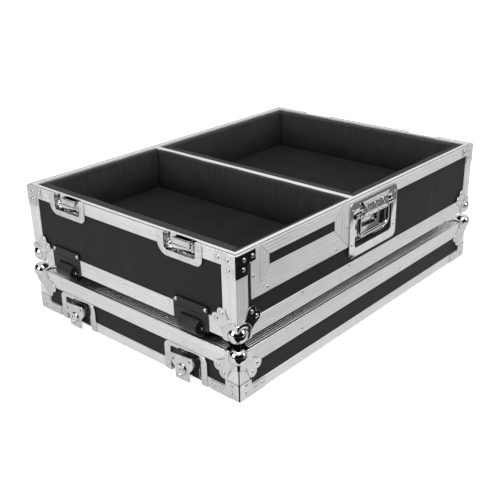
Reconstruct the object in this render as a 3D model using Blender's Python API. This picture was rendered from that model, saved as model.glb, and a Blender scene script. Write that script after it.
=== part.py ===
"""Mixer flight case: the open base stands on its own lid, which lies with its opening down.

+X runs along the long sides, +Z is up. The wheels are on the -X end, and the removable access
panel and the front handle are on the -Y side. The origin is the middle of the footprint, on the
surface that the lid stands on. All sizes are in metres.
"""

import math

import bmesh
import bpy
from mathutils import Matrix, Vector

# Overall
LENGTH = 0.850
WIDTH = 0.600
LID_HEIGHT = 0.101
STACK_GAP = 0.024
BASE_HEIGHT = 0.169

# Clearance between neighbouring solids
GAP = 0.0003

# Boards and aluminium extrusions
BOARD = 0.007
EXTRUSION = 0.0016
BAND = 0.035
CORNER_LEG_LONG_SIDE = 0.030
CORNER_LEG_SHORT_SIDE = 0.035
RIM_LEG = 0.025
RIM_WIDTH = 0.014
RIM_WEB = 0.005
GROOVE_INSET = 0.0032
GROOVE_WIDTH = 0.0026
GROOVE_DEPTH = 0.0030
TONGUE_HEIGHT = 0.0025

# Foam and the divider
LINER_FACE = 0.035
LINER_THIN = 0.0133
LINER_DROP = 0.0075
FLOOR_DEPTH = 0.097
LID_FOAM = 0.020
DIVIDER_AT = 0.367
DIVIDER_BOARD = 0.009
DIVIDER_CAP_WIDTH = 0.0125
DIVIDER_CAP_HEIGHT = 0.012
DIVIDER_NEAR_FOAM = 0.011
DIVIDER_FAR_FOAM = 0.018

# Access panel in the front side
ACCESS_AT = 0.038
ACCESS_WIDTH = 0.298
ACCESS_DEPTH = 0.0965
ACCESS_LEG = 0.025

# Pressed steel hardware
SHEET = 0.0012
PAN_DEPTH = 0.0095
LATCH_FROM_BRACKET = 0.0075

BALL_RADIUS = 0.018
BASE_BALL_INSET = 0.0105
LID_BALL_INSET = 0.007
DIMPLE_RADIUS = 0.007
COLLAR_RADIUS = 0.026
EAR_FAR = 0.050
EAR_NEAR = 0.037
EAR_RADIUS = 0.011
WAIST_RADIUS = 0.022

BRACE_ARM = 0.050
BRACE_ARM_HEIGHT = 0.022
BRACE_LEG = 0.044
BRACE_LEG_WIDTH = 0.029

BRACKET_ARM = 0.072
BRACKET_ARM_HEIGHT = 0.022
BRACKET_LEG = 0.035
BRACKET_LEG_WIDTH = 0.033

CATCH_WIDTH = 0.114
CATCH_HEIGHT = 0.045
CATCH_PAN_WIDTH = 0.080
CATCH_PAN_HEIGHT = 0.032
CATCH_SMALL_CORNER = 0.016
CATCH_LARGE_CORNER = 0.024
KEEPER_WIDTH = 0.046
KEEPER_HEIGHT = 0.007
KEEPER_UP = 0.019

LATCH_WIDTH = 0.114
LATCH_HEIGHT = 0.067
LATCH_PAN_WIDTH = 0.082
LATCH_PAN_TOP = 0.058
LATCH_PAN_FOOT = 0.005
LATCH_CORNER = 0.014
HOOK_STAND_OFF = 0.010
HOOK_SHEET = 0.002
HOOK_WIDTH = 0.058
HOOK_TOP = 0.056
HOOK_SHOULDER = 0.036
HOOK_TAB_WIDTH = 0.037
HOOK_FOOT = 0.0015
CARRIAGE_WIDTH = 0.024
CARRIAGE_LOW = 0.032
CARRIAGE_HEIGHT = 0.016
HOOK_HOLE = 0.0022
HOOK_HOLE_AT = 0.0225
HOOK_HOLE_UP = 0.045
WING_RADIUS = 0.0115
WING_THICK = 0.003
WING_UP = 0.024
WING_GRIP_WIDTH = 0.003
WING_GRIP_HEIGHT = 0.0022

# Sprung handles, on the front side and on the end away from the wheels
HANDLE_LAP = 0.002
HANDLE_WIDTH = 0.174
HANDLE_HEIGHT = 0.120
HANDLE_BELOW_RIM = 0.005
HANDLE_CORNER = 0.013
HANDLE_SHEET = 0.0015
HANDLE_FROM_CATCH = 0.0195
HANDLE_FLANGE = 0.020
HANDLE_PAN_HEIGHT = 0.077
HANDLE_PAN_UP = 0.0205
HANDLE_PAN_DEPTH = 0.016
HANDLE_BARREL = 0.0065
HANDLE_LUG = 0.008
HANDLE_BARREL_BELOW = 0.011
HANDLE_ROD = 0.0045
HANDLE_DROP = 0.046
HANDLE_SHOULDER = 0.007
HANDLE_BEND = 0.010

# Wheels in the bottom edge of the -X end
WHEEL_FROM_SIDE = 0.115
WHEEL_RADIUS = 0.0165
WHEEL_LENGTH = 0.048
WHEEL_INSET = 0.001
WHEEL_ROOM = 0.0018
WHEEL_SIDE_ROOM = 0.0005
WHEEL_PIN = 0.003
WHEEL_EAR = 0.0085
WHEEL_CHEEK = 0.0025
WHEEL_BOX = 0.024
HOUSING_WIDTH = 0.090
HOUSING_HEIGHT = 0.049
HOUSING_SHEET = 0.0015

# Rubber feet under the base
FOOT_RADIUS = 0.019
FOOT_TIP_RADIUS = 0.017
FOOT_FROM_END = 0.095
FOOT_FROM_SIDE = 0.090

# Levels and reaches that follow
BASE_BOTTOM = LID_HEIGHT + STACK_GAP
RIM_TOP = BASE_BOTTOM + BASE_HEIGHT
BOARD_OUT = EXTRUSION + GAP
BOARD_IN = BOARD_OUT + BOARD
LINER_OUT = BOARD_IN + GAP
WEB_UNDER = RIM_TOP - RIM_WEB
LINER_TOP = RIM_TOP - LINER_DROP
LINER_FLOOR = RIM_TOP - FLOOR_DEPTH
LEFT = -LENGTH / 2
DIVIDER_X = LEFT + DIVIDER_AT
ACCESS_LOW = LEFT + ACCESS_AT
ACCESS_HIGH = ACCESS_LOW + ACCESS_WIDTH
ACCESS_SILL = RIM_TOP - ACCESS_DEPTH
HANDLE_AT = ACCESS_HIGH - HANDLE_LAP + HANDLE_WIDTH / 2
HARDWARE_OFFSET = WIDTH / 2 - BRACKET_ARM - LATCH_FROM_BRACKET - LATCH_WIDTH / 2
PULL_HANDLE_WIDTH = 2 * (HARDWARE_OFFSET - CATCH_WIDTH / 2 - HANDLE_FROM_CATCH)
WHEEL_OFFSET = WIDTH / 2 - WHEEL_FROM_SIDE
FOOT_OFFSET_X = LENGTH / 2 - FOOT_FROM_END
FOOT_OFFSET_Y = WIDTH / 2 - FOOT_FROM_SIDE
BEYOND = 0.05

UP = Vector((0, 0, 1))
OUTWARD = {
    "front": Vector((0, -1, 0)),
    "back": Vector((0, 1, 0)),
    "wheel_end": Vector((-1, 0, 0)),
    "pull_end": Vector((1, 0, 0)),
}


def material(name, colour, metallic, roughness):
    """A Principled material of one colour."""
    made = bpy.data.materials.new(name)
    made.use_nodes = True
    shader = made.node_tree.nodes["Principled BSDF"]
    shader.inputs["Base Color"].default_value = (*colour, 1)
    shader.inputs["Metallic"].default_value = metallic
    shader.inputs["Roughness"].default_value = roughness
    made.diffuse_color = (*colour, 1)
    return made


def mesh_of(shape):
    """Turns a bmesh into a mesh."""
    mesh = bpy.data.meshes.new("shape")
    shape.to_mesh(mesh)
    shape.free()
    return mesh


def box(low, high):
    """A box between two opposite corners."""
    low, high = Vector(low), Vector(high)
    shape = bmesh.new()
    bmesh.ops.create_cube(shape, size=1)
    fit = Matrix.Translation((low + high) / 2) @ Matrix.Diagonal((*(high - low), 1))
    bmesh.ops.transform(shape, matrix=fit, verts=shape.verts)
    return mesh_of(shape)


def centred_box(size_x, size_y, low_z, high_z):
    """A box centred on the Z axis."""
    return box((-size_x / 2, -size_y / 2, low_z), (size_x / 2, size_y / 2, high_z))


def inset_box(inset, low_z, high_z):
    """A box that stays an inset inside all four sides of the case."""
    return centred_box(LENGTH - 2 * inset, WIDTH - 2 * inset, low_z, high_z)


def rod(radius, start, end, sides=24, end_radius=None):
    """A round bar, or a cone where its end has another radius."""
    start, end = Vector(start), Vector(end)
    run = end - start
    shape = bmesh.new()
    bmesh.ops.create_cone(
        shape,
        cap_ends=True,
        segments=sides,
        radius1=radius,
        radius2=radius if end_radius is None else end_radius,
        depth=run.length,
    )
    turn = UP.rotation_difference(run).to_matrix().to_4x4()
    bmesh.ops.transform(shape, matrix=Matrix.Translation((start + end) / 2) @ turn, verts=shape.verts)
    return mesh_of(shape)


def ball(radius, centre, around=24, rings=14):
    """A sphere."""
    shape = bmesh.new()
    bmesh.ops.create_uvsphere(shape, u_segments=around, v_segments=rings, radius=radius)
    bmesh.ops.translate(shape, vec=Vector(centre), verts=shape.verts)
    return mesh_of(shape)


def evaluated_mesh(source):
    """The object's mesh with its modifiers or its curve evaluated."""
    bpy.context.view_layer.update()
    graph = bpy.context.evaluated_depsgraph_get()
    return bpy.data.meshes.new_from_object(source.evaluated_get(graph))


def curve_mesh(curve):
    """The welded mesh of a curve, whose caps are loose until then."""
    helper = bpy.data.objects.new("helper", curve)
    bpy.context.scene.collection.objects.link(helper)
    mesh = evaluated_mesh(helper)
    bpy.data.objects.remove(helper)
    shape = bmesh.new()
    shape.from_mesh(mesh)
    bmesh.ops.remove_doubles(shape, verts=shape.verts, dist=1e-6)
    bmesh.ops.recalc_face_normals(shape, faces=shape.faces)
    return mesh_of(shape)


def fill_spline(curve, points, closed):
    """Adds one poly spline through the points."""
    spline = curve.splines.new("POLY")
    spline.points.add(len(points) - 1)
    for place, point in zip(spline.points, points):
        place.co = (*point, 1)
    spline.use_cyclic_u = closed


def plate(outline, low, high):
    """A flat outline of (u, v) points, filled and standing from w = low to w = high."""
    curve = bpy.data.curves.new("outline", "CURVE")
    curve.dimensions = "2D"
    curve.fill_mode = "BOTH"
    curve.extrude = (high - low) / 2
    fill_spline(curve, [(u, v, 0) for u, v in outline], True)
    mesh = curve_mesh(curve)
    mesh.transform(Matrix.Translation((0, 0, (low + high) / 2)))
    return mesh


def tube(points, radius):
    """A round wire along the points."""
    curve = bpy.data.curves.new("wire", "CURVE")
    curve.dimensions = "3D"
    curve.bevel_depth = radius
    curve.bevel_resolution = 3
    curve.use_fill_caps = True
    fill_spline(curve, points, False)
    return curve_mesh(curve)


def arc(centre, radius, start, end, steps=5):
    """Points round a centre, from one angle to another in degrees."""
    angles = [math.radians(start + (end - start) * step / steps) for step in range(steps + 1)]
    return [(centre[0] + radius * math.cos(angle), centre[1] + radius * math.sin(angle)) for angle in angles]


def moved(mesh, matrix):
    """A copy of the mesh, carried by a matrix."""
    copy = mesh.copy()
    copy.transform(matrix)
    return copy


def gathered(meshes):
    """Separate meshes held in one."""
    shape = bmesh.new()
    for mesh in meshes:
        shape.from_mesh(mesh)
    return mesh_of(shape)


def combined(parts, cuts=()):
    """The parts joined into one solid, and then cut, by exact Booleans."""
    target = bpy.data.objects.new("target", parts[0])
    helpers = [target]
    steps = [("UNION", mesh) for mesh in parts[1:]] + [("DIFFERENCE", mesh) for mesh in cuts]
    for operation, mesh in steps:
        helper = bpy.data.objects.new("helper", mesh)
        helpers.append(helper)
        modifier = target.modifiers.new(operation.title(), "BOOLEAN")
        modifier.operation = operation
        modifier.object = helper
    for helper in helpers:
        bpy.context.scene.collection.objects.link(helper)
    result = evaluated_mesh(target)
    for helper in helpers:
        bpy.data.objects.remove(helper)
    return result


def on_face(side, along, height):
    """Where a fitting's (u, v, w) frame lies: u to the right seen from outside, v up, w outwards."""
    out = OUTWARD[side]
    across = UP.cross(out)
    start = Vector((out.x * LENGTH / 2, out.y * WIDTH / 2, height))
    start += Vector((abs(out.y), abs(out.x), 0)) * along
    turn = Matrix((across, UP, out)).transposed().to_4x4()
    return Matrix.Translation(start) @ turn


def at_corner(index, height, upside_down=False):
    """Where a corner fitting's frame lies: x and y run along the two sides, z into the case."""
    corner = [(-1, -1), (1, -1), (1, 1), (-1, 1)][index]
    start = Vector((corner[0] * LENGTH / 2, corner[1] * WIDTH / 2, height))
    flip = Matrix(((0, 1, 0), (1, 0, 0), (0, 0, -1))).to_4x4() if upside_down else Matrix.Identity(4)
    return Matrix.Translation(start) @ Matrix.Rotation(index * math.pi / 2, 4, "Z") @ flip


def clear_scene():
    """Removes what the startup file holds and makes the two collections."""
    for item in list(bpy.data.objects):
        bpy.data.objects.remove(item)
    collections = []
    for name in ("mixer_flight_case", "cutters"):
        made = bpy.data.collections.new(name)
        bpy.context.scene.collection.children.link(made)
        collections.append(made)
    return collections


CASE, CUTTERS = clear_scene()
ALUMINIUM = material("aluminium_extrusion", (0.62, 0.62, 0.63), 0.9, 0.38)
LAMINATE = material("black_laminate", (0.030, 0.030, 0.032), 0.0, 0.55)
FOAM = material("black_foam", (0.016, 0.016, 0.017), 0.0, 0.95)
STEEL = material("zinc_plated_steel", (0.60, 0.60, 0.61), 1.0, 0.24)
CHROME = material("chromed_steel", (0.68, 0.68, 0.69), 1.0, 0.12)
BLACK_STEEL = material("black_steel", (0.015, 0.015, 0.016), 0.3, 0.45)
RUBBER = material("black_rubber", (0.020, 0.020, 0.020), 0.0, 0.70)


def empty(name, place, parent=None):
    """A carrier for the pieces of one moving body, standing on its joint."""
    made = bpy.data.objects.new(name, None)
    made.empty_display_size = 0.03
    CASE.objects.link(made)
    hold(made, Matrix.Translation(place), parent)
    return made


def hold(item, matrix, parent):
    """Places an object in the world, under its carrier."""
    item.parent = parent
    if parent is not None:
        item.matrix_parent_inverse = Matrix.Translation(parent["place"]).inverted()
    item.location = matrix.to_translation()
    item.rotation_euler = matrix.to_euler()
    item["place"] = matrix.to_translation()


def node(name, mesh, finish, matrix=None, parent=None):
    """One named piece of the case."""
    mesh.name = name
    made = bpy.data.objects.new(name, mesh)
    CASE.objects.link(made)
    hold(made, matrix or Matrix.Identity(4), parent)
    mesh.materials.clear()
    mesh.materials.append(finish)
    mesh.shade_smooth()
    mesh.set_sharp_from_angle(angle=math.radians(32))
    return made


def cutter(name, mesh):
    """A hidden solid that Booleans use."""
    made = bpy.data.objects.new(name, mesh)
    CUTTERS.objects.link(made)
    made.hide_render = True
    made.display_type = "WIRE"
    return made


def cut(piece, *cutters):
    """Cuts a piece with shared cutters, by modifiers that stay live."""
    for tool in cutters:
        modifier = piece.modifiers.new(tool.name, "BOOLEAN")
        modifier.operation = "DIFFERENCE"
        modifier.object = tool


def edge_frame(closed_z, open_z):
    """Angle extrusions round the closed face and down the four corners, as one frame."""
    into = 1 if open_z > closed_z else -1
    beyond = open_z + into * BEYOND

    def span(from_z, mesh_maker):
        return mesh_maker(min(from_z, beyond), max(from_z, beyond))

    body = inset_box(0, min(closed_z, open_z), max(closed_z, open_z))
    inside = span(closed_z + into * EXTRUSION, lambda low, high: inset_box(EXTRUSION, low, high))
    window = inset_box(BAND, closed_z - BEYOND, closed_z + BEYOND)
    long_sides = span(
        closed_z + into * BAND,
        lambda low, high: centred_box(LENGTH - 2 * CORNER_LEG_LONG_SIDE, WIDTH + BEYOND, low, high),
    )
    short_sides = span(
        closed_z + into * BAND,
        lambda low, high: centred_box(LENGTH + BEYOND, WIDTH - 2 * CORNER_LEG_SHORT_SIDE, low, high),
    )
    return combined([body], [inside, window, long_sides, short_sides])


def ring(outer_inset, inner_inset, low_z, high_z):
    """A flat rectangular ring that follows the rim."""
    hole = inset_box(inner_inset, low_z - BEYOND, high_z + BEYOND)
    return combined([inset_box(outer_inset, low_z, high_z)], [hole])


def make_cutters():
    """The pockets that hardware and the access panel need in boards, extrusions and foam."""
    pan = PAN_DEPTH + GAP
    catch = box(
        (-CATCH_PAN_WIDTH / 2 - SHEET - GAP, -CATCH_PAN_HEIGHT - SHEET - GAP, -pan),
        (CATCH_PAN_WIDTH / 2 + SHEET + GAP, BEYOND, BEYOND),
    )
    latch = box(
        (-LATCH_PAN_WIDTH / 2 - SHEET - GAP, -BEYOND, -pan),
        (LATCH_PAN_WIDTH / 2 + SHEET + GAP, LATCH_PAN_TOP + SHEET + GAP, BEYOND),
    )
    wheel_half = WHEEL_LENGTH / 2 + WHEEL_SIDE_ROOM + WHEEL_CHEEK + GAP
    wheel = box((-wheel_half, -BEYOND, -WHEEL_BOX - GAP), (wheel_half, WHEEL_BOX + GAP, BEYOND))
    offsets = (-HARDWARE_OFFSET, HARDWARE_OFFSET)
    ends = [(side, along) for side in ("wheel_end", "pull_end") for along in offsets]
    front = -WIDTH / 2
    jamb = ACCESS_LEG - EXTRUSION - GAP
    low = (ACCESS_LOW + jamb, front - BEYOND, ACCESS_SILL + jamb)
    high = (ACCESS_HIGH - jamb, front + LINER_OUT + LINER_THIN + GAP, RIM_TOP + BEYOND)
    leg_low = (ACCESS_LOW - GAP, front - BEYOND, ACCESS_SILL)
    leg_high = (ACCESS_HIGH + GAP, front + EXTRUSION + GAP, RIM_TOP + BEYOND)
    cap = DIVIDER_CAP_WIDTH / 2 + GAP
    cap_low = WEB_UNDER - GAP - DIVIDER_CAP_HEIGHT - GAP
    return {
        "catches": cutter("catch_pockets", gathered(moved(catch, on_face(*end, RIM_TOP)) for end in ends)),
        "latches": cutter("latch_pockets", gathered(moved(latch, on_face(*end, 0)) for end in ends)),
        "handles": cutter(
            "handle_pockets",
            gathered(
                [
                    moved(handle_pocket(HANDLE_WIDTH), on_face("front", HANDLE_AT, handle_pan_middle())),
                    moved(handle_pocket(PULL_HANDLE_WIDTH), on_face("pull_end", 0, handle_pan_middle())),
                ]
            ),
        ),
        "wheels": cutter(
            "wheel_pockets",
            gathered(
                moved(wheel, on_face("wheel_end", along, BASE_BOTTOM))
                for along in (-WHEEL_OFFSET, WHEEL_OFFSET)
            ),
        ),
        "access": cutter("access_opening", box(low, high)),
        "access_legs": cutter("access_leg_room", box(leg_low, leg_high)),
        "cap": cutter(
            "divider_cap_room",
            box((DIVIDER_X - cap, -WIDTH, cap_low), (DIVIDER_X + cap, WIDTH, RIM_TOP + BEYOND)),
        ),
    }


def handle_pan_middle():
    """Height of the middle of the handles' recess."""
    bottom = RIM_TOP - HANDLE_BELOW_RIM - HANDLE_HEIGHT
    return bottom + HANDLE_PAN_UP + HANDLE_PAN_HEIGHT / 2


def make_lid(tools):
    """Top panel, wall boards, edge and rim extrusions and the foam pad of the lid."""
    leg_top = RIM_LEG
    node("lid_edge_frame", edge_frame(LID_HEIGHT, leg_top + GAP), ALUMINIUM)

    web_top = TONGUE_HEIGHT + RIM_WEB
    rim = combined(
        [
            inset_box(0, TONGUE_HEIGHT, leg_top),
            ring(GROOVE_INSET + GAP, GROOVE_INSET + GROOVE_WIDTH - GAP, 0, TONGUE_HEIGHT + RIM_WEB / 2),
        ],
        [inset_box(EXTRUSION, web_top, leg_top + BEYOND), inset_box(RIM_WIDTH, -BEYOND, leg_top)],
    )
    cut(node("lid_rim_frame", rim, ALUMINIUM), tools["latches"])

    panel_top = LID_HEIGHT - BOARD_OUT
    panel_low = panel_top - BOARD
    node("lid_top_panel", inset_box(BOARD_OUT, panel_low, panel_top), LAMINATE)
    walls = node("lid_wall_boards", ring(BOARD_OUT, BOARD_IN, web_top + GAP, panel_low - GAP), LAMINATE)
    cut(walls, tools["latches"])
    foam_top = panel_low - GAP
    node("lid_foam_pad", inset_box(LINER_OUT + SHEET, foam_top - LID_FOAM, foam_top), FOAM)


def make_base(tools, carrier):
    """Box, extrusions, divider and foam of the base."""
    leg_low = RIM_TOP - RIM_LEG
    frame = node("base_edge_frame", edge_frame(BASE_BOTTOM, leg_low - GAP), ALUMINIUM, parent=carrier)
    cut(frame, tools["wheels"])

    groove = ring(GROOVE_INSET, GROOVE_INSET + GROOVE_WIDTH, RIM_TOP - GROOVE_DEPTH, RIM_TOP + BEYOND)
    rim = combined(
        [inset_box(0, leg_low, RIM_TOP)],
        [
            inset_box(EXTRUSION, leg_low - BEYOND, WEB_UNDER),
            inset_box(RIM_WIDTH, leg_low, RIM_TOP + BEYOND),
            groove,
        ],
    )
    rim = node("base_rim_frame", rim, ALUMINIUM, parent=carrier)
    cut(rim, tools["catches"], tools["access"], tools["access_legs"])

    floor_low = BASE_BOTTOM + BOARD_OUT
    floor_top = floor_low + BOARD
    wood = combined(
        [inset_box(BOARD_OUT, floor_low, WEB_UNDER - GAP)],
        [inset_box(BOARD_IN, floor_top, RIM_TOP + BEYOND)],
    )
    wood = node("base_box", wood, LAMINATE, parent=carrier)
    cut(wood, tools["catches"], tools["handles"], tools["wheels"], tools["access"])

    divider_half = DIVIDER_BOARD / 2
    end = WIDTH / 2 - LINER_OUT
    foot = floor_top + GAP
    near_low = (LEFT + LINER_OUT, -end, foot)
    near_high = (DIVIDER_X - divider_half - GAP, end, LINER_TOP)
    near_room_low = (LEFT + LINER_FACE, -end + LINER_THIN, LINER_FLOOR)
    near_room_high = (
        DIVIDER_X - divider_half - DIVIDER_NEAR_FOAM,
        WIDTH / 2 - LINER_FACE,
        RIM_TOP + BEYOND,
    )
    near = combined([box(near_low, near_high)], [box(near_room_low, near_room_high)])
    near = node("near_foam_liner", near, FOAM, parent=carrier)
    cut(near, tools["catches"], tools["handles"], tools["wheels"], tools["access"], tools["cap"])

    far_low = (DIVIDER_X + divider_half + GAP, -end, foot)
    far_high = (LENGTH / 2 - LINER_OUT, end, LINER_TOP)
    far_room_low = (DIVIDER_X + divider_half + DIVIDER_FAR_FOAM, -WIDTH / 2 + LINER_FACE, LINER_FLOOR)
    far_room_high = (LENGTH / 2 - LINER_FACE, WIDTH / 2 - LINER_FACE, RIM_TOP + BEYOND)
    far = combined([box(far_low, far_high)], [box(far_room_low, far_room_high)])
    far = node("far_foam_liner", far, FOAM, parent=carrier)
    cut(far, tools["catches"], tools["handles"], tools["cap"])

    cap_top = WEB_UNDER - GAP
    cap_low = cap_top - DIVIDER_CAP_HEIGHT
    cap_half = DIVIDER_CAP_WIDTH / 2
    cap_wall = cap_half - divider_half - GAP
    board_top = cap_top - cap_wall - GAP
    board = box((DIVIDER_X - divider_half, -end, foot), (DIVIDER_X + divider_half, end, board_top))
    cut(node("divider_board", board, LAMINATE, parent=carrier), tools["handles"])
    cap = combined(
        [box((DIVIDER_X - cap_half, -end, cap_low), (DIVIDER_X + cap_half, end, cap_top))],
        [
            box(
                (DIVIDER_X - divider_half - GAP, -WIDTH, cap_low - BEYOND),
                (DIVIDER_X + divider_half + GAP, WIDTH, board_top + GAP),
            )
        ],
    )
    node("divider_cap", cap, ALUMINIUM, parent=carrier)


def make_access_panel(carrier, panel_carrier):
    """The trim round the access opening, and the board, trim and foam of the panel that fills it."""
    front = -WIDTH / 2
    face = front + EXTRUSION
    inner_low = ACCESS_LOW + ACCESS_LEG
    inner_high = ACCESS_HIGH - ACCESS_LEG
    sill = ACCESS_SILL + ACCESS_LEG
    jamb = EXTRUSION
    trim = combined(
        [
            box((ACCESS_LOW, front, ACCESS_SILL), (ACCESS_HIGH, face, RIM_TOP)),
            box(
                (inner_low - jamb, front, sill - jamb),
                (inner_high + jamb, front + RIM_WIDTH, WEB_UNDER - GAP),
            ),
        ],
        [
            box((inner_low, front - BEYOND, sill), (inner_high, front + BEYOND, RIM_TOP + BEYOND)),
        ],
    )
    node("access_opening_trim", trim, ALUMINIUM, parent=carrier)

    low_x, high_x, low_z = inner_low + GAP, inner_high - GAP, sill + GAP
    frame = combined(
        [
            box((low_x, front, low_z), (high_x, face, RIM_TOP)),
            box((low_x, front, WEB_UNDER), (high_x, front + RIM_WIDTH, RIM_TOP)),
        ],
        [
            box(
                (low_x + ACCESS_LEG, front - BEYOND, low_z + ACCESS_LEG),
                (high_x - ACCESS_LEG, front + RIM_WEB, RIM_TOP - ACCESS_LEG),
            ),
            box(
                (low_x - BEYOND, front + GROOVE_INSET, RIM_TOP - GROOVE_DEPTH),
                (high_x + BEYOND, front + GROOVE_INSET + GROOVE_WIDTH, RIM_TOP + BEYOND),
            ),
        ],
    )
    node("access_panel_trim", frame, ALUMINIUM, parent=panel_carrier)
    board = box((low_x, front + BOARD_OUT, low_z), (high_x, front + BOARD_IN, WEB_UNDER - GAP))
    node("access_panel_board", board, LAMINATE, parent=panel_carrier)
    foam = box((low_x, front + LINER_OUT, low_z), (high_x, front + LINER_OUT + LINER_THIN, LINER_TOP))
    node("access_panel_foam", foam, FOAM, parent=panel_carrier)


def heading(start, end):
    """The direction from one point to another, in degrees."""
    return math.degrees(math.atan2(end[1] - start[1], end[0] - start[0]))


def corner_plate_outline(inset):
    """One leg of a ball corner: a collar round the ball, a waist, and two rivet ears."""
    fold = -(GAP + SHEET)
    middle = (inset, inset)
    ear = (EAR_FAR, EAR_NEAR)
    span = math.dist(middle, ear)
    to_waist = COLLAR_RADIUS + WAIST_RADIUS
    from_ear = EAR_RADIUS + WAIST_RADIUS
    along = (span**2 + to_waist**2 - from_ear**2) / (2 * span)
    turn = math.degrees(math.acos(along / to_waist))
    bearing = heading(middle, ear) - turn
    waist = (
        middle[0] + to_waist * math.cos(math.radians(bearing)),
        middle[1] + to_waist * math.sin(math.radians(bearing)),
    )
    dip = math.degrees(math.acos(math.dist(ear, ear[::-1]) / 2 / EAR_RADIUS))
    at_edge = math.degrees(math.asin((fold - inset) / COLLAR_RADIUS))
    half = arc(middle, COLLAR_RADIUS, at_edge, bearing, 4)
    half += arc(waist, WAIST_RADIUS, heading(waist, middle), heading(waist, ear), 5)[1:]
    half += arc(ear, EAR_RADIUS, heading(ear, waist), 135 - dip, 7)[1:]
    foot = math.sqrt(BALL_RADIUS**2 - (inset - fold) ** 2)
    start = inset - math.sqrt(foot**2 - (inset - fold) ** 2) * 0.9
    tip = [(fold, start), (start, fold)] if start > fold else [(fold, fold)]
    return tip + half + [(v, u) for u, v in reversed(half[:-1])]


def ball_corner(inset, dimpled):
    """Three riveted legs round a ball. Its frame has the case's corner at the origin, +x +y +z inside."""
    leg = plate(corner_plate_outline(inset), -SHEET, GAP + SHEET)
    legs = []
    for across in range(3):
        frame = Matrix.Identity(4)
        frame.col[0] = frame.col[1] = frame.col[2] = (0, 0, 0, 0)
        frame[(across + 1) % 3][0] = 1
        frame[(across + 2) % 3][1] = 1
        frame[across][2] = -1
        placed = moved(leg, frame)
        placed.flip_normals()
        legs.append(placed)
    body = box((-GAP, -GAP, -GAP), (BEYOND * 2, BEYOND * 2, BEYOND * 2))
    cuts = [body]
    if dimpled:
        reach = inset - 2 * math.sqrt(BALL_RADIUS**2 - DIMPLE_RADIUS**2)
        cuts.append(ball(BALL_RADIUS, (inset, inset, reach)))
    return combined([ball(BALL_RADIUS, (inset, inset, inset))] + legs, cuts)


def folded_corner(outline):
    """A plate folded round a vertical edge of the case, the same on both sides."""
    leg = plate(outline, -SHEET, GAP + SHEET)
    first = moved(leg, Matrix(((1, 0, 0), (0, 0, -1), (0, 1, 0))).to_4x4())
    second = moved(leg, Matrix(((0, 0, -1), (1, 0, 0), (0, 1, 0))).to_4x4())
    second.flip_normals()
    body = box((-GAP, -GAP, -2 * BEYOND), (2 * BEYOND, 2 * BEYOND, 2 * BEYOND))
    return combined([first, second], [body])


def angle_outline(arm, arm_height, leg, leg_width, upward):
    """An L shape from a corner: an arm along the rim and a leg along the vertical edge."""
    fold = -(GAP + SHEET)
    rounding = SHEET * 2
    points = [(fold, 0), (arm, 0)]
    points += arc((arm - rounding, arm_height - rounding), rounding, 0, 90, 2)
    bend = min(arm - leg_width, leg - arm_height) / 3
    points += arc((leg_width + bend, arm_height + bend), bend, 270, 180, 3)
    points += arc((leg_width - rounding, leg - rounding), rounding, 0, 90, 2)
    points += [(fold, leg)]
    return points if upward else [(u, -v) for u, v in reversed(points)]


def make_corners(carrier):
    """Ball corners, rim brackets and top braces at the four corners."""
    base_ball = ball_corner(BASE_BALL_INSET, False)
    lid_ball = ball_corner(LID_BALL_INSET, True)
    brace = folded_corner(angle_outline(BRACE_ARM, BRACE_ARM_HEIGHT, BRACE_LEG, BRACE_LEG_WIDTH, False))
    bracket = folded_corner(
        angle_outline(BRACKET_ARM, BRACKET_ARM_HEIGHT, BRACKET_LEG, BRACKET_LEG_WIDTH, True)
    )
    for index in range(4):
        number = index + 1
        node(f"lid_ball_corner_{number}", lid_ball.copy(), STEEL, at_corner(index, LID_HEIGHT, True))
        node(f"lid_rim_bracket_{number}", bracket.copy(), STEEL, at_corner(index, TONGUE_HEIGHT + GAP))
        node(f"base_ball_corner_{number}", base_ball.copy(), STEEL, at_corner(index, BASE_BOTTOM), carrier)
        node(f"base_top_brace_{number}", brace.copy(), STEEL, at_corner(index, RIM_TOP - GAP), carrier)


def catch_dish():
    """The keeper half of a latch, a pan with a bar across it. It hangs below the rim, at v = 0."""
    half = CATCH_WIDTH / 2
    low = -CATCH_HEIGHT
    outline = [(-half, -GAP)]
    outline += arc((-half + CATCH_LARGE_CORNER, low + CATCH_LARGE_CORNER), CATCH_LARGE_CORNER, 180, 270)
    outline += arc((half - CATCH_SMALL_CORNER, low + CATCH_SMALL_CORNER), CATCH_SMALL_CORNER, 270, 360)
    outline += [(half, -GAP)]
    pan_half = CATCH_PAN_WIDTH / 2
    back = -PAN_DEPTH + SHEET
    keeper_low = -CATCH_PAN_HEIGHT + KEEPER_UP - KEEPER_HEIGHT
    dish = combined(
        [
            plate(outline, GAP, GAP + SHEET),
            box(
                (-pan_half - SHEET, -CATCH_PAN_HEIGHT - SHEET, -PAN_DEPTH),
                (pan_half + SHEET, -GAP, GAP + SHEET / 2),
            ),
        ],
        [box((-pan_half, -CATCH_PAN_HEIGHT, back), (pan_half, BEYOND, BEYOND))],
    )
    keeper = box(
        (-KEEPER_WIDTH / 2, keeper_low, back - SHEET / 2),
        (KEEPER_WIDTH / 2, keeper_low + KEEPER_HEIGHT, 0),
    )
    return combined([dish, keeper])


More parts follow.
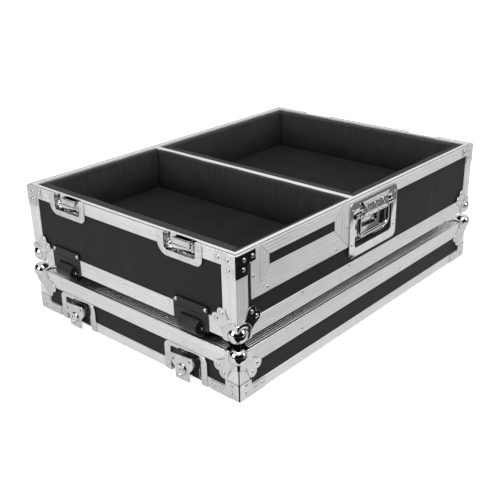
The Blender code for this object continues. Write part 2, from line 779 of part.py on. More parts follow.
def latch_dish():
    """The lid half of a latch: a pan that is open at the rim, between two feet."""
    half = LATCH_WIDTH / 2
    foot = TONGUE_HEIGHT + GAP
    top = LATCH_HEIGHT
    outline = [(-half, foot), (half, foot)]
    outline += arc((half - LATCH_CORNER, top - LATCH_CORNER), LATCH_CORNER, 0, 90)
    outline += arc((-half + LATCH_CORNER, top - LATCH_CORNER), LATCH_CORNER, 90, 180)
    pan_half = LATCH_PAN_WIDTH / 2
    pan_low = max(LATCH_PAN_FOOT, foot)
    return combined(
        [
            plate(outline, GAP, GAP + SHEET),
            box(
                (-pan_half - SHEET, pan_low, -PAN_DEPTH),
                (pan_half + SHEET, LATCH_PAN_TOP + SHEET, GAP + SHEET / 2),
            ),
        ],
        [
            box((-pan_half, -BEYOND, -PAN_DEPTH + SHEET), (pan_half, LATCH_PAN_TOP, BEYOND)),
        ],
    )


def hook_plate():
    """The latch's front plate, which reaches past the rim, and the carriage that slides in the pan."""
    half = HOOK_WIDTH / 2
    tab = HOOK_TAB_WIDTH / 2
    low = HOOK_STAND_OFF
    high = low + HOOK_SHEET
    shoulder_bend = half - tab
    outline = [(-tab, HOOK_FOOT), (tab, HOOK_FOOT), (tab, HOOK_SHOULDER - shoulder_bend)]
    outline += [(half, HOOK_SHOULDER)]
    outline += arc((half - HOOK_HOLE * 2, HOOK_TOP - HOOK_HOLE * 2), HOOK_HOLE * 2, 0, 90, 3)
    outline += arc((-half + HOOK_HOLE * 2, HOOK_TOP - HOOK_HOLE * 2), HOOK_HOLE * 2, 90, 180, 3)
    outline += [(-half, HOOK_SHOULDER), (-tab, HOOK_SHOULDER - shoulder_bend)]
    carriage = box(
        (-CARRIAGE_WIDTH / 2, CARRIAGE_LOW, -PAN_DEPTH + SHEET + GAP),
        (CARRIAGE_WIDTH / 2, CARRIAGE_LOW + CARRIAGE_HEIGHT, low + HOOK_SHEET / 2),
    )
    holes = [
        rod(HOOK_HOLE, (across, HOOK_HOLE_UP, low - HOOK_SHEET), (across, HOOK_HOLE_UP, BEYOND), 10)
        for across in (-HOOK_HOLE_AT, HOOK_HOLE_AT)
    ]
    return combined([plate(outline, low, high), carriage], holes)


def latch_wing():
    """The round wing that is turned to draw the hook plate in. Its origin is on its axis, at the plate."""
    grip = box(
        (-WING_RADIUS * 0.9, -WING_GRIP_WIDTH / 2, WING_THICK / 2),
        (WING_RADIUS * 0.9, WING_GRIP_WIDTH / 2, WING_THICK + WING_GRIP_HEIGHT),
    )
    return combined([rod(WING_RADIUS, (0, 0, GAP), (0, 0, WING_THICK)), grip])


def make_latches(carrier):
    """Two latches on each end of the lid, with their catches on the base."""
    catch = catch_dish()
    lid_dish = latch_dish()
    hook = hook_plate()
    wing = latch_wing()
    number = 0
    for side in ("wheel_end", "pull_end"):
        for along in (-HARDWARE_OFFSET, HARDWARE_OFFSET):
            number += 1
            node(f"catch_{number}", catch.copy(), STEEL, on_face(side, along, RIM_TOP), carrier)
            node(f"latch_dish_{number}", lid_dish.copy(), STEEL, on_face(side, along, 0))
            node(f"latch_hook_{number}", hook.copy(), STEEL, on_face(side, along, 0))
            hub = on_face(side, along, WING_UP) @ Matrix.Translation((0, 0, HOOK_STAND_OFF + HOOK_SHEET))
            node(f"latch_wing_{number}", wing.copy(), CHROME, hub)


def handle_pan_half(width):
    """Half the width of the recess in a handle of this width."""
    return width / 2 - HANDLE_FLANGE


def handle_pocket(width):
    """The room that a handle's recess needs in the board behind it."""
    wide = handle_pan_half(width) + SHEET + GAP
    tall = HANDLE_PAN_HEIGHT / 2 + SHEET + GAP
    return box((-wide, -tall, -HANDLE_PAN_DEPTH - GAP), (wide, tall, BEYOND))


def handle_axis():
    """Place of the handle's hinge in its recess: v from the recess's middle, and w."""
    return HANDLE_PAN_HEIGHT / 2 - HANDLE_BARREL_BELOW, EXTRUSION / 2


def handle_dish(width):
    """The recessed dish of a handle, with two lugs that carry the bail's barrel. v = 0 is mid-recess."""
    low = -HANDLE_PAN_HEIGHT / 2 - HANDLE_PAN_UP
    high = low + HANDLE_HEIGHT
    half = width / 2
    round_off = HANDLE_CORNER
    outline = arc((-half + round_off, low + round_off), round_off, 180, 270, 4)
    outline += arc((half - round_off, low + round_off), round_off, 270, 360, 4)
    outline += arc((half - round_off, high - round_off), round_off, 0, 90, 4)
    outline += arc((-half + round_off, high - round_off), round_off, 90, 180, 4)
    pan_half = handle_pan_half(width)
    pan_up = HANDLE_PAN_HEIGHT / 2
    back = -HANDLE_PAN_DEPTH
    dish = combined(
        [
            plate(outline, GAP, GAP + HANDLE_SHEET),
            box(
                (-pan_half - SHEET, -pan_up - SHEET, back),
                (pan_half + SHEET, pan_up + SHEET, GAP + HANDLE_SHEET / 2),
            ),
        ],
        [
            box((-pan_half, -pan_up, back + SHEET), (pan_half, pan_up, BEYOND)),
        ],
    )
    axis_v, axis_w = handle_axis()
    inner = pan_half - HANDLE_LUG + GAP
    lugs = [
        rod(
            HANDLE_BARREL,
            (side * inner, axis_v, axis_w),
            (side * (pan_half + SHEET / 2), axis_v, axis_w),
            16,
        )
        for side in (-1, 1)
    ]
    return combined([dish] + lugs)


def handle_bail(width):
    """The bail: a hinge barrel, two arms and the grip, as one. Its origin is on the barrel's axis."""
    length = handle_pan_half(width) - HANDLE_LUG
    half = length - HANDLE_SHOULDER
    bend = HANDLE_BEND
    left_bend = arc((-half + bend, -HANDLE_DROP + bend), bend, 180, 270, 4)
    right_bend = arc((half - bend, -HANDLE_DROP + bend), bend, 270, 360, 4)
    route = [(-half, 0)] + left_bend + right_bend + [(half, 0)]
    wire = tube([(u, v, 0) for u, v in route], HANDLE_ROD)
    barrel = rod(HANDLE_BARREL, (-length, 0, 0), (length, 0, 0), 16)
    return combined([barrel, wire])


def make_handles(carrier):
    """A sprung handle on the front side, and one on the end away from the wheels."""
    axis_v, axis_w = handle_axis()
    front = ("front", "front", HANDLE_AT, HANDLE_WIDTH)
    pull = ("pull", "pull_end", 0, PULL_HANDLE_WIDTH)
    for name, side, along, width in (front, pull):
        place = on_face(side, along, handle_pan_middle())
        node(f"{name}_handle_dish", handle_dish(width), CHROME, place, carrier)
        hinge = place @ Matrix.Translation((0, axis_v, axis_w))
        node(f"{name}_handle_bail", handle_bail(width), CHROME, hinge, carrier)


def wheel_housing():
    """A folded plate with a box for the wheel and the pin that it turns on. v = 0 is the base's bottom."""
    half = HOUSING_WIDTH / 2
    cheek = WHEEL_LENGTH / 2 + WHEEL_SIDE_ROOM
    sheet = GAP + HOUSING_SHEET
    axis = (WHEEL_INSET, -WHEEL_INSET)
    room = WHEEL_RADIUS + WHEEL_ROOM
    parts = [
        box((-half, -sheet, GAP), (half, HOUSING_HEIGHT, sheet)),
        box((-half, -sheet, -HOUSING_HEIGHT), (half, -GAP, sheet - HOUSING_SHEET / 3)),
        box(
            (-cheek - WHEEL_CHEEK, -GAP - HOUSING_SHEET / 2, -WHEEL_BOX),
            (cheek + WHEEL_CHEEK, WHEEL_BOX, GAP + HOUSING_SHEET / 2),
        ),
    ]
    ears = [
        rod(WHEEL_EAR, (side * cheek, *axis), (side * (cheek + WHEEL_CHEEK), *axis), 20)
        for side in (-1, 1)
    ]
    hollow = rod(room, (-cheek, *axis), (cheek, *axis), 32)
    pin = rod(WHEEL_PIN, (-cheek - WHEEL_CHEEK / 2, *axis), (cheek + WHEEL_CHEEK / 2, *axis), 16)
    return combined([combined(parts + ears, [hollow]), pin])


def wheel_roller():
    """The roller, bored for its pin. Its origin is on its axis."""
    half = WHEEL_LENGTH / 2
    bore = rod(WHEEL_PIN + GAP, (-half - BEYOND, 0, 0), (half + BEYOND, 0, 0), 16)
    return combined([rod(WHEEL_RADIUS, (-half, 0, 0), (half, 0, 0), 32)], [bore])


def make_wheels(carrier):
    """Two wheels in the bottom edge of the -X end."""
    housing = wheel_housing()
    roller = wheel_roller()
    for name, along in (("near", -WHEEL_OFFSET), ("far", WHEEL_OFFSET)):
        place = on_face("wheel_end", along, BASE_BOTTOM)
        node(f"{name}_wheel_housing", housing.copy(), BLACK_STEEL, place, carrier)
        hub = place @ Matrix.Translation((0, WHEEL_INSET, -WHEEL_INSET))
        node(f"{name}_wheel_roller", roller.copy(), RUBBER, hub, carrier)


def make_feet(carrier):
    """Rubber feet that stand the base on the lid's top panel."""
    low = LID_HEIGHT - EXTRUSION
    high = BASE_BOTTOM + EXTRUSION
    foot = rod(FOOT_TIP_RADIUS, (0, 0, low), (0, 0, high), 28, FOOT_RADIUS)
    places = [(x, y) for x in (-FOOT_OFFSET_X, FOOT_OFFSET_X) for y in (-FOOT_OFFSET_Y, FOOT_OFFSET_Y)]
    for number, (x, y) in enumerate(places, 1):
        node(f"rubber_foot_{number}", foot.copy(), RUBBER, Matrix.Translation((x, y, 0)), carrier)


def main():
    """Builds the case."""
    tools = make_cutters()
    base = empty("base_carrier", (0, 0, BASE_BOTTOM))
    panel = empty("access_panel_carrier", ((ACCESS_LOW + ACCESS_HIGH) / 2, -WIDTH / 2, ACCESS_SILL), base)
    make_lid(tools)
    make_base(tools, base)
    make_access_panel(base, panel)
    make_corners(base)
    make_latches(base)
    make_handles(base)
    make_wheels(base)
    make_feet(base)


main()
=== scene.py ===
"""A wheeled flight case for a mixer, standing open on its own lid.

Every piece is a surface worked out with numpy: a profile carried along a path, a turned profile, or a
grid of two parameters. Sides of the case use a (u, v, w) frame: u to the right seen from outside, v up
and w outwards. Lengths are in metres.
"""

import math
from functools import cache

import bmesh
import bpy
import numpy as np
from mathutils import Matrix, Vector
from bpy.props import FloatProperty, FloatVectorProperty, PointerProperty
from bpy.types import Operator, Panel, PropertyGroup


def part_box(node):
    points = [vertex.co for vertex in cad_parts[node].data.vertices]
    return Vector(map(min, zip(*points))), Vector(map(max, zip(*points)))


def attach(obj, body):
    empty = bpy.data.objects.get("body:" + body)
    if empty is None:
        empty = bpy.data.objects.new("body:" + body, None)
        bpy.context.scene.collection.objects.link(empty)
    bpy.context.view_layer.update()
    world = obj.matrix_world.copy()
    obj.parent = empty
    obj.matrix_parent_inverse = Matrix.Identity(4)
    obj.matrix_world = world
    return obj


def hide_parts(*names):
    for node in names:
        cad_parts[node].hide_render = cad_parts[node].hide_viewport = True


bl_info = {
    "name": "Mixer flight case",
    "version": (1, 0, 0),
    "blender": (4, 5, 0),
    "location": "View3D > Sidebar > Flight case",
    "description": "Builds the extrusions, pressed hardware, foam and finishes of a wheeled flight case",
    "category": "Object",
}

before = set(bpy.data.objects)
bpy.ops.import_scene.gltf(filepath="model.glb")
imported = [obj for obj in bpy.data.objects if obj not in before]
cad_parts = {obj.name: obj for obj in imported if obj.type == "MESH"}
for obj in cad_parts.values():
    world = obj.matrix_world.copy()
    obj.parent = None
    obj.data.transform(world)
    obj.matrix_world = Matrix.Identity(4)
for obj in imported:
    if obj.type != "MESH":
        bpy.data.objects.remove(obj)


def extent(node):
    """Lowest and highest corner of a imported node, as arrays."""
    low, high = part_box(node)
    return np.array(low), np.array(high)


def middle_of(node, axis):
    """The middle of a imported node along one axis."""
    low, high = extent(node)
    return float(low[axis] + high[axis]) / 2


CASE_LOW, CASE_HIGH = extent("base_rim_frame")
HALF_LENGTH = float(CASE_HIGH[0])
HALF_WIDTH = float(CASE_HIGH[1])
RIM_TOP = float(CASE_HIGH[2])
BASE_BOTTOM = float(extent("base_edge_frame")[0][2])
LID_TOP = float(extent("lid_edge_frame")[1][2])
OPENING_LOW, OPENING_HIGH = extent("access_opening_trim")
WELL_DEPTH = 0.097
FLOOR_TOP = RIM_TOP - WELL_DEPTH
GAP = 0.0003


def length(name, description, default):
    """A length that a user may change."""
    return FloatProperty(
        name=name, description=description, default=default, min=0, unit="LENGTH", precision=4
    )


def colour(name, description, default):
    """A colour that a user may change."""
    return FloatVectorProperty(
        name=name, description=description, default=default, subtype="COLOR", size=3, min=0, max=1
    )


class CaseSizes(PropertyGroup):
    """Sizes of the extrusions, boards and foam."""

    sheet: length("Extrusion wall", "Thickness of the aluminium extrusions", 0.0016)
    band: length("Edge leg", "Leg of the edge extrusions on the sides and the closed face", 0.035)
    corner_leg: length("Corner leg", "Leg of the corner extrusions on the long sides", 0.030)
    edge_round: length("Edge rounding", "Radius of the outer edge of the extrusions", 0.0022)
    rib_depth: length("Rib depth", "Depth of the grooves along the extrusions", 0.0007)
    rim_leg: length("Rim leg", "Height of the rim extrusions", 0.025)
    rim_width: length("Rim width", "Width of the rim seen from above", 0.014)
    rim_web: length("Rim thickness", "Thickness of the rim's web", 0.005)
    groove_inset: length("Groove inset", "From the outside of the rim to its groove", 0.0032)
    groove_width: length("Groove width", "Width of the rim's groove", 0.0026)
    groove_depth: length("Groove depth", "Depth of the rim's groove", 0.003)
    access_leg: length("Access trim", "Width of the trims round the access panel", 0.025)
    mitre: length("Mitre gap", "How far each bar stops before its mitre", 0.0006)
    foam_round: length("Foam rounding", "Radius of the foam's edges", 0.0038)
    foam_wave: length("Foam unevenness", "How far the foam's faces wander", 0.0009)
    foam_drop: length("Foam drop", "From the rim's top to the top of the foam", 0.0022)
    foam_back: length("Foam backing", "From the case's outside to the foam's back", 0.0106)
    foam_recess: length("Foam recess", "The same on the sides with a handle's recess", 0.0171)


class HardwareSizes(PropertyGroup):
    """Sizes of the pressed and turned hardware."""

    sheet: length("Hardware sheet", "Thickness of pressed hardware", 0.0012)
    rivet: length("Rivet radius", "Radius of the large rivets' heads", 0.0043)
    small_rivet: length("Small rivet radius", "Radius of the rivets along the extrusions", 0.0031)
    ball: length("Ball radius", "Radius of the ball corners", 0.01797)
    collar: length("Collar radius", "Radius of the raised ring round a ball", 0.026)
    pan: length("Recess depth", "Depth of the latch and catch recesses", 0.0095)
    bail: length("Bail radius", "Radius of the handles' round bar", 0.0045)


class Finishes(PropertyGroup):
    """Colours of the finishes, as the surface shows them under plain white light."""

    aluminium: colour("Aluminium", "Extrusions", (0.72, 0.72, 0.73))
    laminate: colour("Laminate", "Boards", (0.0125, 0.0125, 0.013))
    foam: colour("Foam", "Lining", (0.016, 0.016, 0.017))
    zinc: colour("Zinc", "Pressed hardware", (0.62, 0.62, 0.63))
    chrome: colour("Chrome", "Handles and twist wings", (0.68, 0.68, 0.69))
    paint: colour("Black paint", "Wheel housings", (0.005, 0.005, 0.0053))
    rubber: colour("Rubber", "Wheels and feet", (0.010, 0.010, 0.010))
    # Painted shade: a dark copy of the steel, for the insides of recesses, holes and slots
    recess: colour("Recess", "Dulled steel inside the recesses", (0.06, 0.06, 0.06))


def power(name, description, default):
    """A light's power that a user may change."""
    return FloatProperty(name=name, description=description, default=default, unit="POWER")


class StageSettings(PropertyGroup):
    """Strength of the lights and of what surrounds the case."""

    key: power("Key light", "Power of the large light above", 9.0)
    side: power("Side light", "Power of the light at the wheels' end", 5.0)
    ambient: FloatProperty(name="Surroundings", description="Strength of the even light around", default=0.42)
    floor: FloatProperty(name="Floor", description="Whiteness of the floor", default=0.9, min=0, max=1)


def sizes():
    """The case's sizes as they are set now."""
    return bpy.context.scene.case_sizes


def hardware():
    """The hardware's sizes as they are set now."""
    return bpy.context.scene.case_hardware


def finishes():
    """The finishes' colours as they are set now."""
    return bpy.context.scene.case_finishes


class Surface:
    """Points and faces gathered from grids, caps and other surfaces, which become one mesh."""

    def __init__(self):
        self.points = []
        self.corners = []
        self.counts = []
        self.slots = []
        self.total = 0

    def faces(self, points, corners, counts, slot=0):
        """Adds points, faces given by their corners in one flat list, and each face's corner count."""
        points = np.reshape(points, (-1, 3))
        self.points.append(points)
        self.corners.append(np.ravel(corners) + self.total)
        self.counts.append(np.ravel(counts))
        self.slots.append(np.broadcast_to(slot, np.size(counts)))
        self.total += len(points)
        return self

    def grid(self, points, rows_close=False, columns_close=False, slot=0):
        """Adds a quad between each four neighbours of points (rows, columns, 3)."""
        rows, columns = points.shape[:2]
        index = np.arange(rows * columns).reshape(rows, columns)
        if rows_close:
            index = np.vstack([index, index[:1]])
        if columns_close:
            index = np.hstack([index, index[:, :1]])
        quads = np.stack([index[:-1, :-1], index[:-1, 1:], index[1:, 1:], index[1:, :-1]], axis=-1)
        slot = np.broadcast_to(np.reshape(slot, (-1, 1)), quads.shape[:2]).ravel()
        return self.faces(points, quads, np.full(len(slot), 4), slot)

    def cap(self, loop, slot=0):
        """Adds one face inside a loop of points."""
        return self.faces(loop, np.arange(len(loop)), [len(loop)], slot)

    def add(self, other, matrices=None, slot=None):
        """Adds another surface, once for each 4 x 4 matrix."""
        points = np.concatenate(other.points)
        matrices = np.eye(4)[None] if matrices is None else np.reshape(matrices, (-1, 4, 4))
        copies = len(matrices)
        placed = np.einsum("mij,nj->mni", matrices[:, :3, :3], points) + matrices[:, None, :3, 3]
        shift = np.arange(copies)[:, None] * len(points)
        slots = np.tile(np.concatenate(other.slots), copies) if slot is None else slot
        return self.faces(
            placed,
            np.concatenate(other.corners)[None] + shift,
            np.tile(np.concatenate(other.counts), copies),
            slots,
        )

    def bend(self, rule):
        """Carries every point by a rule that takes and gives an (n, 3) array."""
        self.points = [rule(points) for points in self.points]
        return self

    def mesh(self, name, smooth):
        """The mesh, with its doubles merged and, where it is closed, its faces turned outwards."""
        mesh = bpy.data.meshes.new(name)
        points = np.concatenate(self.points).astype(np.float32)
        corners = np.concatenate(self.corners).astype(np.int32)
        counts = np.concatenate(self.counts).astype(np.int32)
        starts = np.concatenate([[0], np.cumsum(counts)[:-1]]).astype(np.int32)
        mesh.vertices.add(len(points))
        mesh.loops.add(len(corners))
        mesh.polygons.add(len(counts))
        mesh.vertices.foreach_set("co", points.ravel())
        mesh.loops.foreach_set("vertex_index", corners)
        mesh.polygons.foreach_set("loop_start", starts)
        mesh.polygons.foreach_set("loop_total", counts)
        mesh.polygons.foreach_set("material_index", np.concatenate(self.slots).astype(np.int32))
        mesh.update(calc_edges=True)
        shape = bmesh.new()
        shape.from_mesh(mesh)
        bmesh.ops.remove_doubles(shape, verts=shape.verts, dist=4e-6)
        bmesh.ops.recalc_face_normals(shape, faces=shape.faces)
        shape.to_mesh(mesh)
        shape.free()
        mesh.shade_smooth()
        mesh.set_sharp_from_angle(angle=math.radians(smooth))
        return mesh


def piece(name, surface, slot, body, node, place=None, smooth=38):
    """Makes an object of a surface, at its place, which rides on its body and stands for its node.

    It gets the finishes of the record's material slot, as far as its faces use them.
    """
    surface = surface if place is None else Surface().add(surface, place)
    made = bpy.data.objects.new(name, surface.mesh(name, smooth))
    bpy.context.scene.collection.objects.link(made)
    used = np.concatenate(surface.slots).max() + 1
    for maker, *direction in SLOT_FINISHES[slot][:used]:
        made.data.materials.append(maker(*direction))
    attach(made, body)
    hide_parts(node)
    return made


def placed(origin, across, up, out):
    """A 4 x 4 matrix from a frame's origin and axes."""
    made = np.eye(4)
    made[:3, 0], made[:3, 1], made[:3, 2], made[:3, 3] = across, up, out, origin
    return made


def at(u, v, w=0.0, turn=np.eye(4)):
    """A place in a frame, after a turn of the surface onto another axis."""
    made = np.array(turn)
    made[:3, 3] += u, v, w
    return made


OUTWARD = {"front": (0, -1, 0), "back": (0, 1, 0), "wheel_end": (-1, 0, 0), "pull_end": (1, 0, 0)}
CORNERS = np.array([(-1, -1), (1, -1), (1, 1), (-1, 1)], float)
AROUND_U = placed((0, 0, 0), (0, 1, 0), (0, 0, 1), (1, 0, 0))
AROUND_V = placed((0, 0, 0), (0, 0, 1), (1, 0, 0), (0, 1, 0))
COIL_ALONG_V = placed((0, 0, 0), (0, 1, 0), (1, 0, 0), (0, 0, -1))


def on_side(side, along, height):
    """The (u, v, w) frame of a fitting on one side of the case."""
    out = np.array(OUTWARD[side], float)
    start = out * (HALF_LENGTH, HALF_WIDTH, 0) + (abs(out[1]) * along, abs(out[0]) * along, height)
    return placed(start, np.cross((0, 0, 1), out), (0, 0, 1), out)


def at_corner(index, height, upside_down=False):
    """A corner's frame: x and y run along its two sides into the case, z into it from the closed face."""
    turn = index * math.pi / 2
    x = np.array((math.cos(turn), math.sin(turn), 0))
    y = np.array((-math.sin(turn), math.cos(turn), 0))
    start = (*CORNERS[index] * (HALF_LENGTH, HALF_WIDTH), height)
    return placed(start, y, x, (0, 0, -1)) if upside_down else placed(start, x, y, (0, 0, 1))


def arc(centre, radius, start, end, steps=6):
    """Points round a centre from one angle to another, in degrees: centre + radius (cos, sin)."""
    angles = np.radians(np.linspace(start, end, steps + 1))
    return np.stack([centre[0] + radius * np.cos(angles), centre[1] + radius * np.sin(angles)], axis=1)


def joined(*runs):
    """Runs of 2D points, one after the other."""
    return np.concatenate([np.reshape(run, (-1, 2)) for run in runs])


def flipped(run, axis=0):
    """A run of 2D points with one coordinate's sign changed, taken backwards."""
    return np.reshape(run, (-1, 2))[::-1] * (1 - 2 * np.eye(2)[axis])


def resampled(line, count):
    """Points at even steps along an open line of points."""
    gone = np.concatenate([[0], np.cumsum(np.linalg.norm(np.diff(line, axis=0), axis=1))])
    steps = np.linspace(0, gone[-1], count)
    return np.stack([np.interp(steps, gone, line[:, axis]) for axis in (0, 1)], axis=1)


def densified(loop, step):
    """A closed loop with more points on its long edges."""
    ahead = np.roll(loop, -1, axis=0)
    counts = np.maximum(1, np.ceil(np.linalg.norm(ahead - loop, axis=1) / step)).astype(int)
    which = np.repeat(np.arange(len(loop)), counts)
    share = np.concatenate([np.arange(count) / count for count in counts])[:, None]
    return loop[which] + (ahead - loop)[which] * share


def inward(loop, distance):
    """A closed loop moved to its left by a distance, each point along the mean of its edges' normals."""
    sides = np.roll(loop, -1, axis=0) - loop, loop - np.roll(loop, 1, axis=0)
    unit = [side / np.maximum(np.linalg.norm(side, axis=1, keepdims=True), 1e-12) for side in sides]
    normals = [np.stack([-side[:, 1], side[:, 0]], axis=1) for side in unit]
    mean = normals[0] + normals[1]
    share = np.maximum((mean * normals[0]).sum(axis=1, keepdims=True), 0.35)
    return loop + distance * mean / share


def with_depth(loop, depth):
    """2D points as 3D points at one depth, or each at its own."""
    return np.column_stack([loop, np.broadcast_to(depth, len(loop))])


def sweep(origins, across, up, profile, closed=False, slot=0):
    """A profile carried along a path: origin i + a_j times across i + b_j times up i, closed by caps."""
    rows = [np.broadcast_to(np.array(item, float), (len(origins), 3)) for item in (origins, across, up)]
    start, across, up = (row[:, None] for row in rows)
    points = start + profile[None, :, :1] * across + profile[None, :, 1:] * up
    made = Surface().grid(points, rows_close=closed, columns_close=True, slot=slot)
    if not closed:
        ends = np.ravel(slot)
        made.cap(points[0], ends[0]).cap(points[-1], ends[-1])
    return made


def turned(profile, sides=24, slot=0, hollow=False):
    """A profile of (radius, height) points turned round the w axis, closed by caps or onto itself."""
    angle = np.linspace(0, 2 * math.pi, sides, endpoint=False)
    radius, height = np.array(profile, float).T[..., None]
    turn = (radius * np.cos(angle), radius * np.sin(angle), height)
    points = np.stack(np.broadcast_arrays(*turn), axis=-1)
    made = Surface().grid(points, rows_close=hollow, columns_close=True, slot=slot)
    return made if hollow else made.cap(points[0], slot).cap(points[-1], slot)


def bar(route, radius, sides=14):
    """A round bar along 3D points, its rings square to the route."""
    route = np.asarray(route, float)
    heading = np.gradient(route, axis=0)
    heading /= np.linalg.norm(heading, axis=1, keepdims=True)
    side = np.cross(heading, (0.31, 0.17, 0.93) if abs(heading[0, 2]) < 0.9 else (0.93, 0.17, 0.31))
    side /= np.linalg.norm(side, axis=1, keepdims=True)
    turn = np.linspace(0, 2 * math.pi, sides, endpoint=False)
    ring = np.stack([np.cos(turn), np.sin(turn)], axis=1) * radius
    return sweep(route, side, np.cross(heading, side), ring)


def coil(radius, wire, half, turns):
    """A spring round the u axis: (half (2 t - 1), radius cos, radius sin) for t from 0 to 1."""
    t = np.linspace(0, 1, turns * 18)
    angle = 2 * math.pi * turns * t
    route = np.stack([half * (2 * t - 1), radius * np.cos(angle), radius * np.sin(angle)], axis=1)
    return bar(route, wire, 6)


def rolled_edge(low, high, edge):
    """A plate's edge, from its underside round to its face: each ring's inset and depth."""
    return [(0, low), (0, high - edge), (0.3 * edge, high - 0.3 * edge), (edge, high), (2 * edge, high)]


def plate(outline, low, high, edge=0.00045, slot=0):
    """A flat plate with rolled edges: rings of its outline, each further in and higher, then a flat face."""
    steps = rolled_edge(low, high, edge)
    rings = np.stack([with_depth(inward(outline, step), depth) for step, depth in steps])
    made = Surface().grid(rings, columns_close=True, slot=slot)
    return made.cap(rings[0], slot).cap(rings[-1], slot)


def dome(radius, height=None, slot=0):
    """A rivet's head: the height falls from the middle as the square root of 1 - r squared."""
    height = radius * 0.42 if height is None else height
    turn = np.radians((0, 20, 42, 62, 80))
    skirt = (radius, -0.0008)
    return turned(joined(skirt, np.stack([radius * np.cos(turn), height * np.sin(turn)], axis=1)), 14, slot)


def rectangle(half_wide, half_high, rounding, centre=(0.0, 0.0), steps=6):
    """A rounded rectangle, anticlockwise from its lower left corner."""
    turns = [arc(corner * (half_wide - rounding, half_high - rounding), rounding, start, start + 90, steps)
             for corner, start in zip(CORNERS, (180, 270, 0, 90))]
    return joined(*turns) + np.array(centre)


def add_blocks(made, *rows, slot=0):
    """Adds rounded blocks: (half wide, half high, low, high, rounding, u, v) for each."""
    for half_wide, half_high, low, high, rounding, *centre in rows:
        outline = rectangle(half_wide, half_high, rounding * 1.6, centre, 3)
        made.add(plate(outline, low, high, rounding, slot))


def add_heads(made, depth, *rows, slot=0):
    """Adds rivets' heads on a face at a depth: (radius, height, places) for each kind."""
    for radius, height, places in rows:
        made.add(dome(radius, height, slot), [at(u, v, depth) for u, v in places])


def smooth_max(a, b, blend):
    """The larger of two, with a rounded valley: (a + b + sqrt((a - b)^2 + blend^2)) / 2."""
    return (a + b + np.sqrt((a - b) ** 2 + blend**2)) / 2


def ease(value, low, high):
    """0 below low, 1 above high, and 3t^2 - 2t^3 between."""
    t = np.clip((value - low) / (high - low), 0, 1)
    return t * t * (3 - 2 * t)


class Value:
    """A shader socket in Python expressions: each operator adds its Math node."""

    def __init__(self, tree, socket):
        self.tree = tree
        self.socket = socket

    def maths(self, operation, *values):
        """Adds a Math node, and gives its result."""
        return self.tree.node("ShaderNodeMath", {"operation": operation}, dict(enumerate(values)))

    def __add__(self, other):
        return self.maths("ADD", self, other)

    def __sub__(self, other):
        return self.maths("SUBTRACT", self, other)

    def __rsub__(self, other):
        return self.maths("SUBTRACT", other, self)

    def __mul__(self, other):
        return self.maths("MULTIPLY", self, other)

    def __abs__(self):
        return self.maths("ABSOLUTE", self)

    def larger(self, other):
        return self.maths("MAXIMUM", self, other)

    def smaller(self, other):
        return self.maths("MINIMUM", self, other)

    __radd__ = __add__
    __rmul__ = __mul__


class Tree:
    """The node tree of a material or a world, and the one way to add a node to it."""

    def __init__(self, owner):
        owner.use_nodes = True
        self.nodes = owner.node_tree.nodes
        self.links = owner.node_tree.links

    def feed(self, socket, value):
        """Links a value, or sets a number or a colour."""
        if isinstance(value, Value):
            self.links.new(value.socket, socket)
        elif socket.type == "RGBA" and len(value) == 3:
            socket.default_value = (*value, 1)
        else:
            socket.default_value = value

    def node(self, kind, settings=None, inputs=None, output=0):
        """Adds a node: its settings first, then its sockets."""
        made = self.nodes.new(kind)
        for key, value in (settings or {}).items():
            setattr(made, key, value)
        for key, value in (inputs or {}).items():
            self.feed(made.inputs[key], value)
        return Value(self, made.outputs[output])


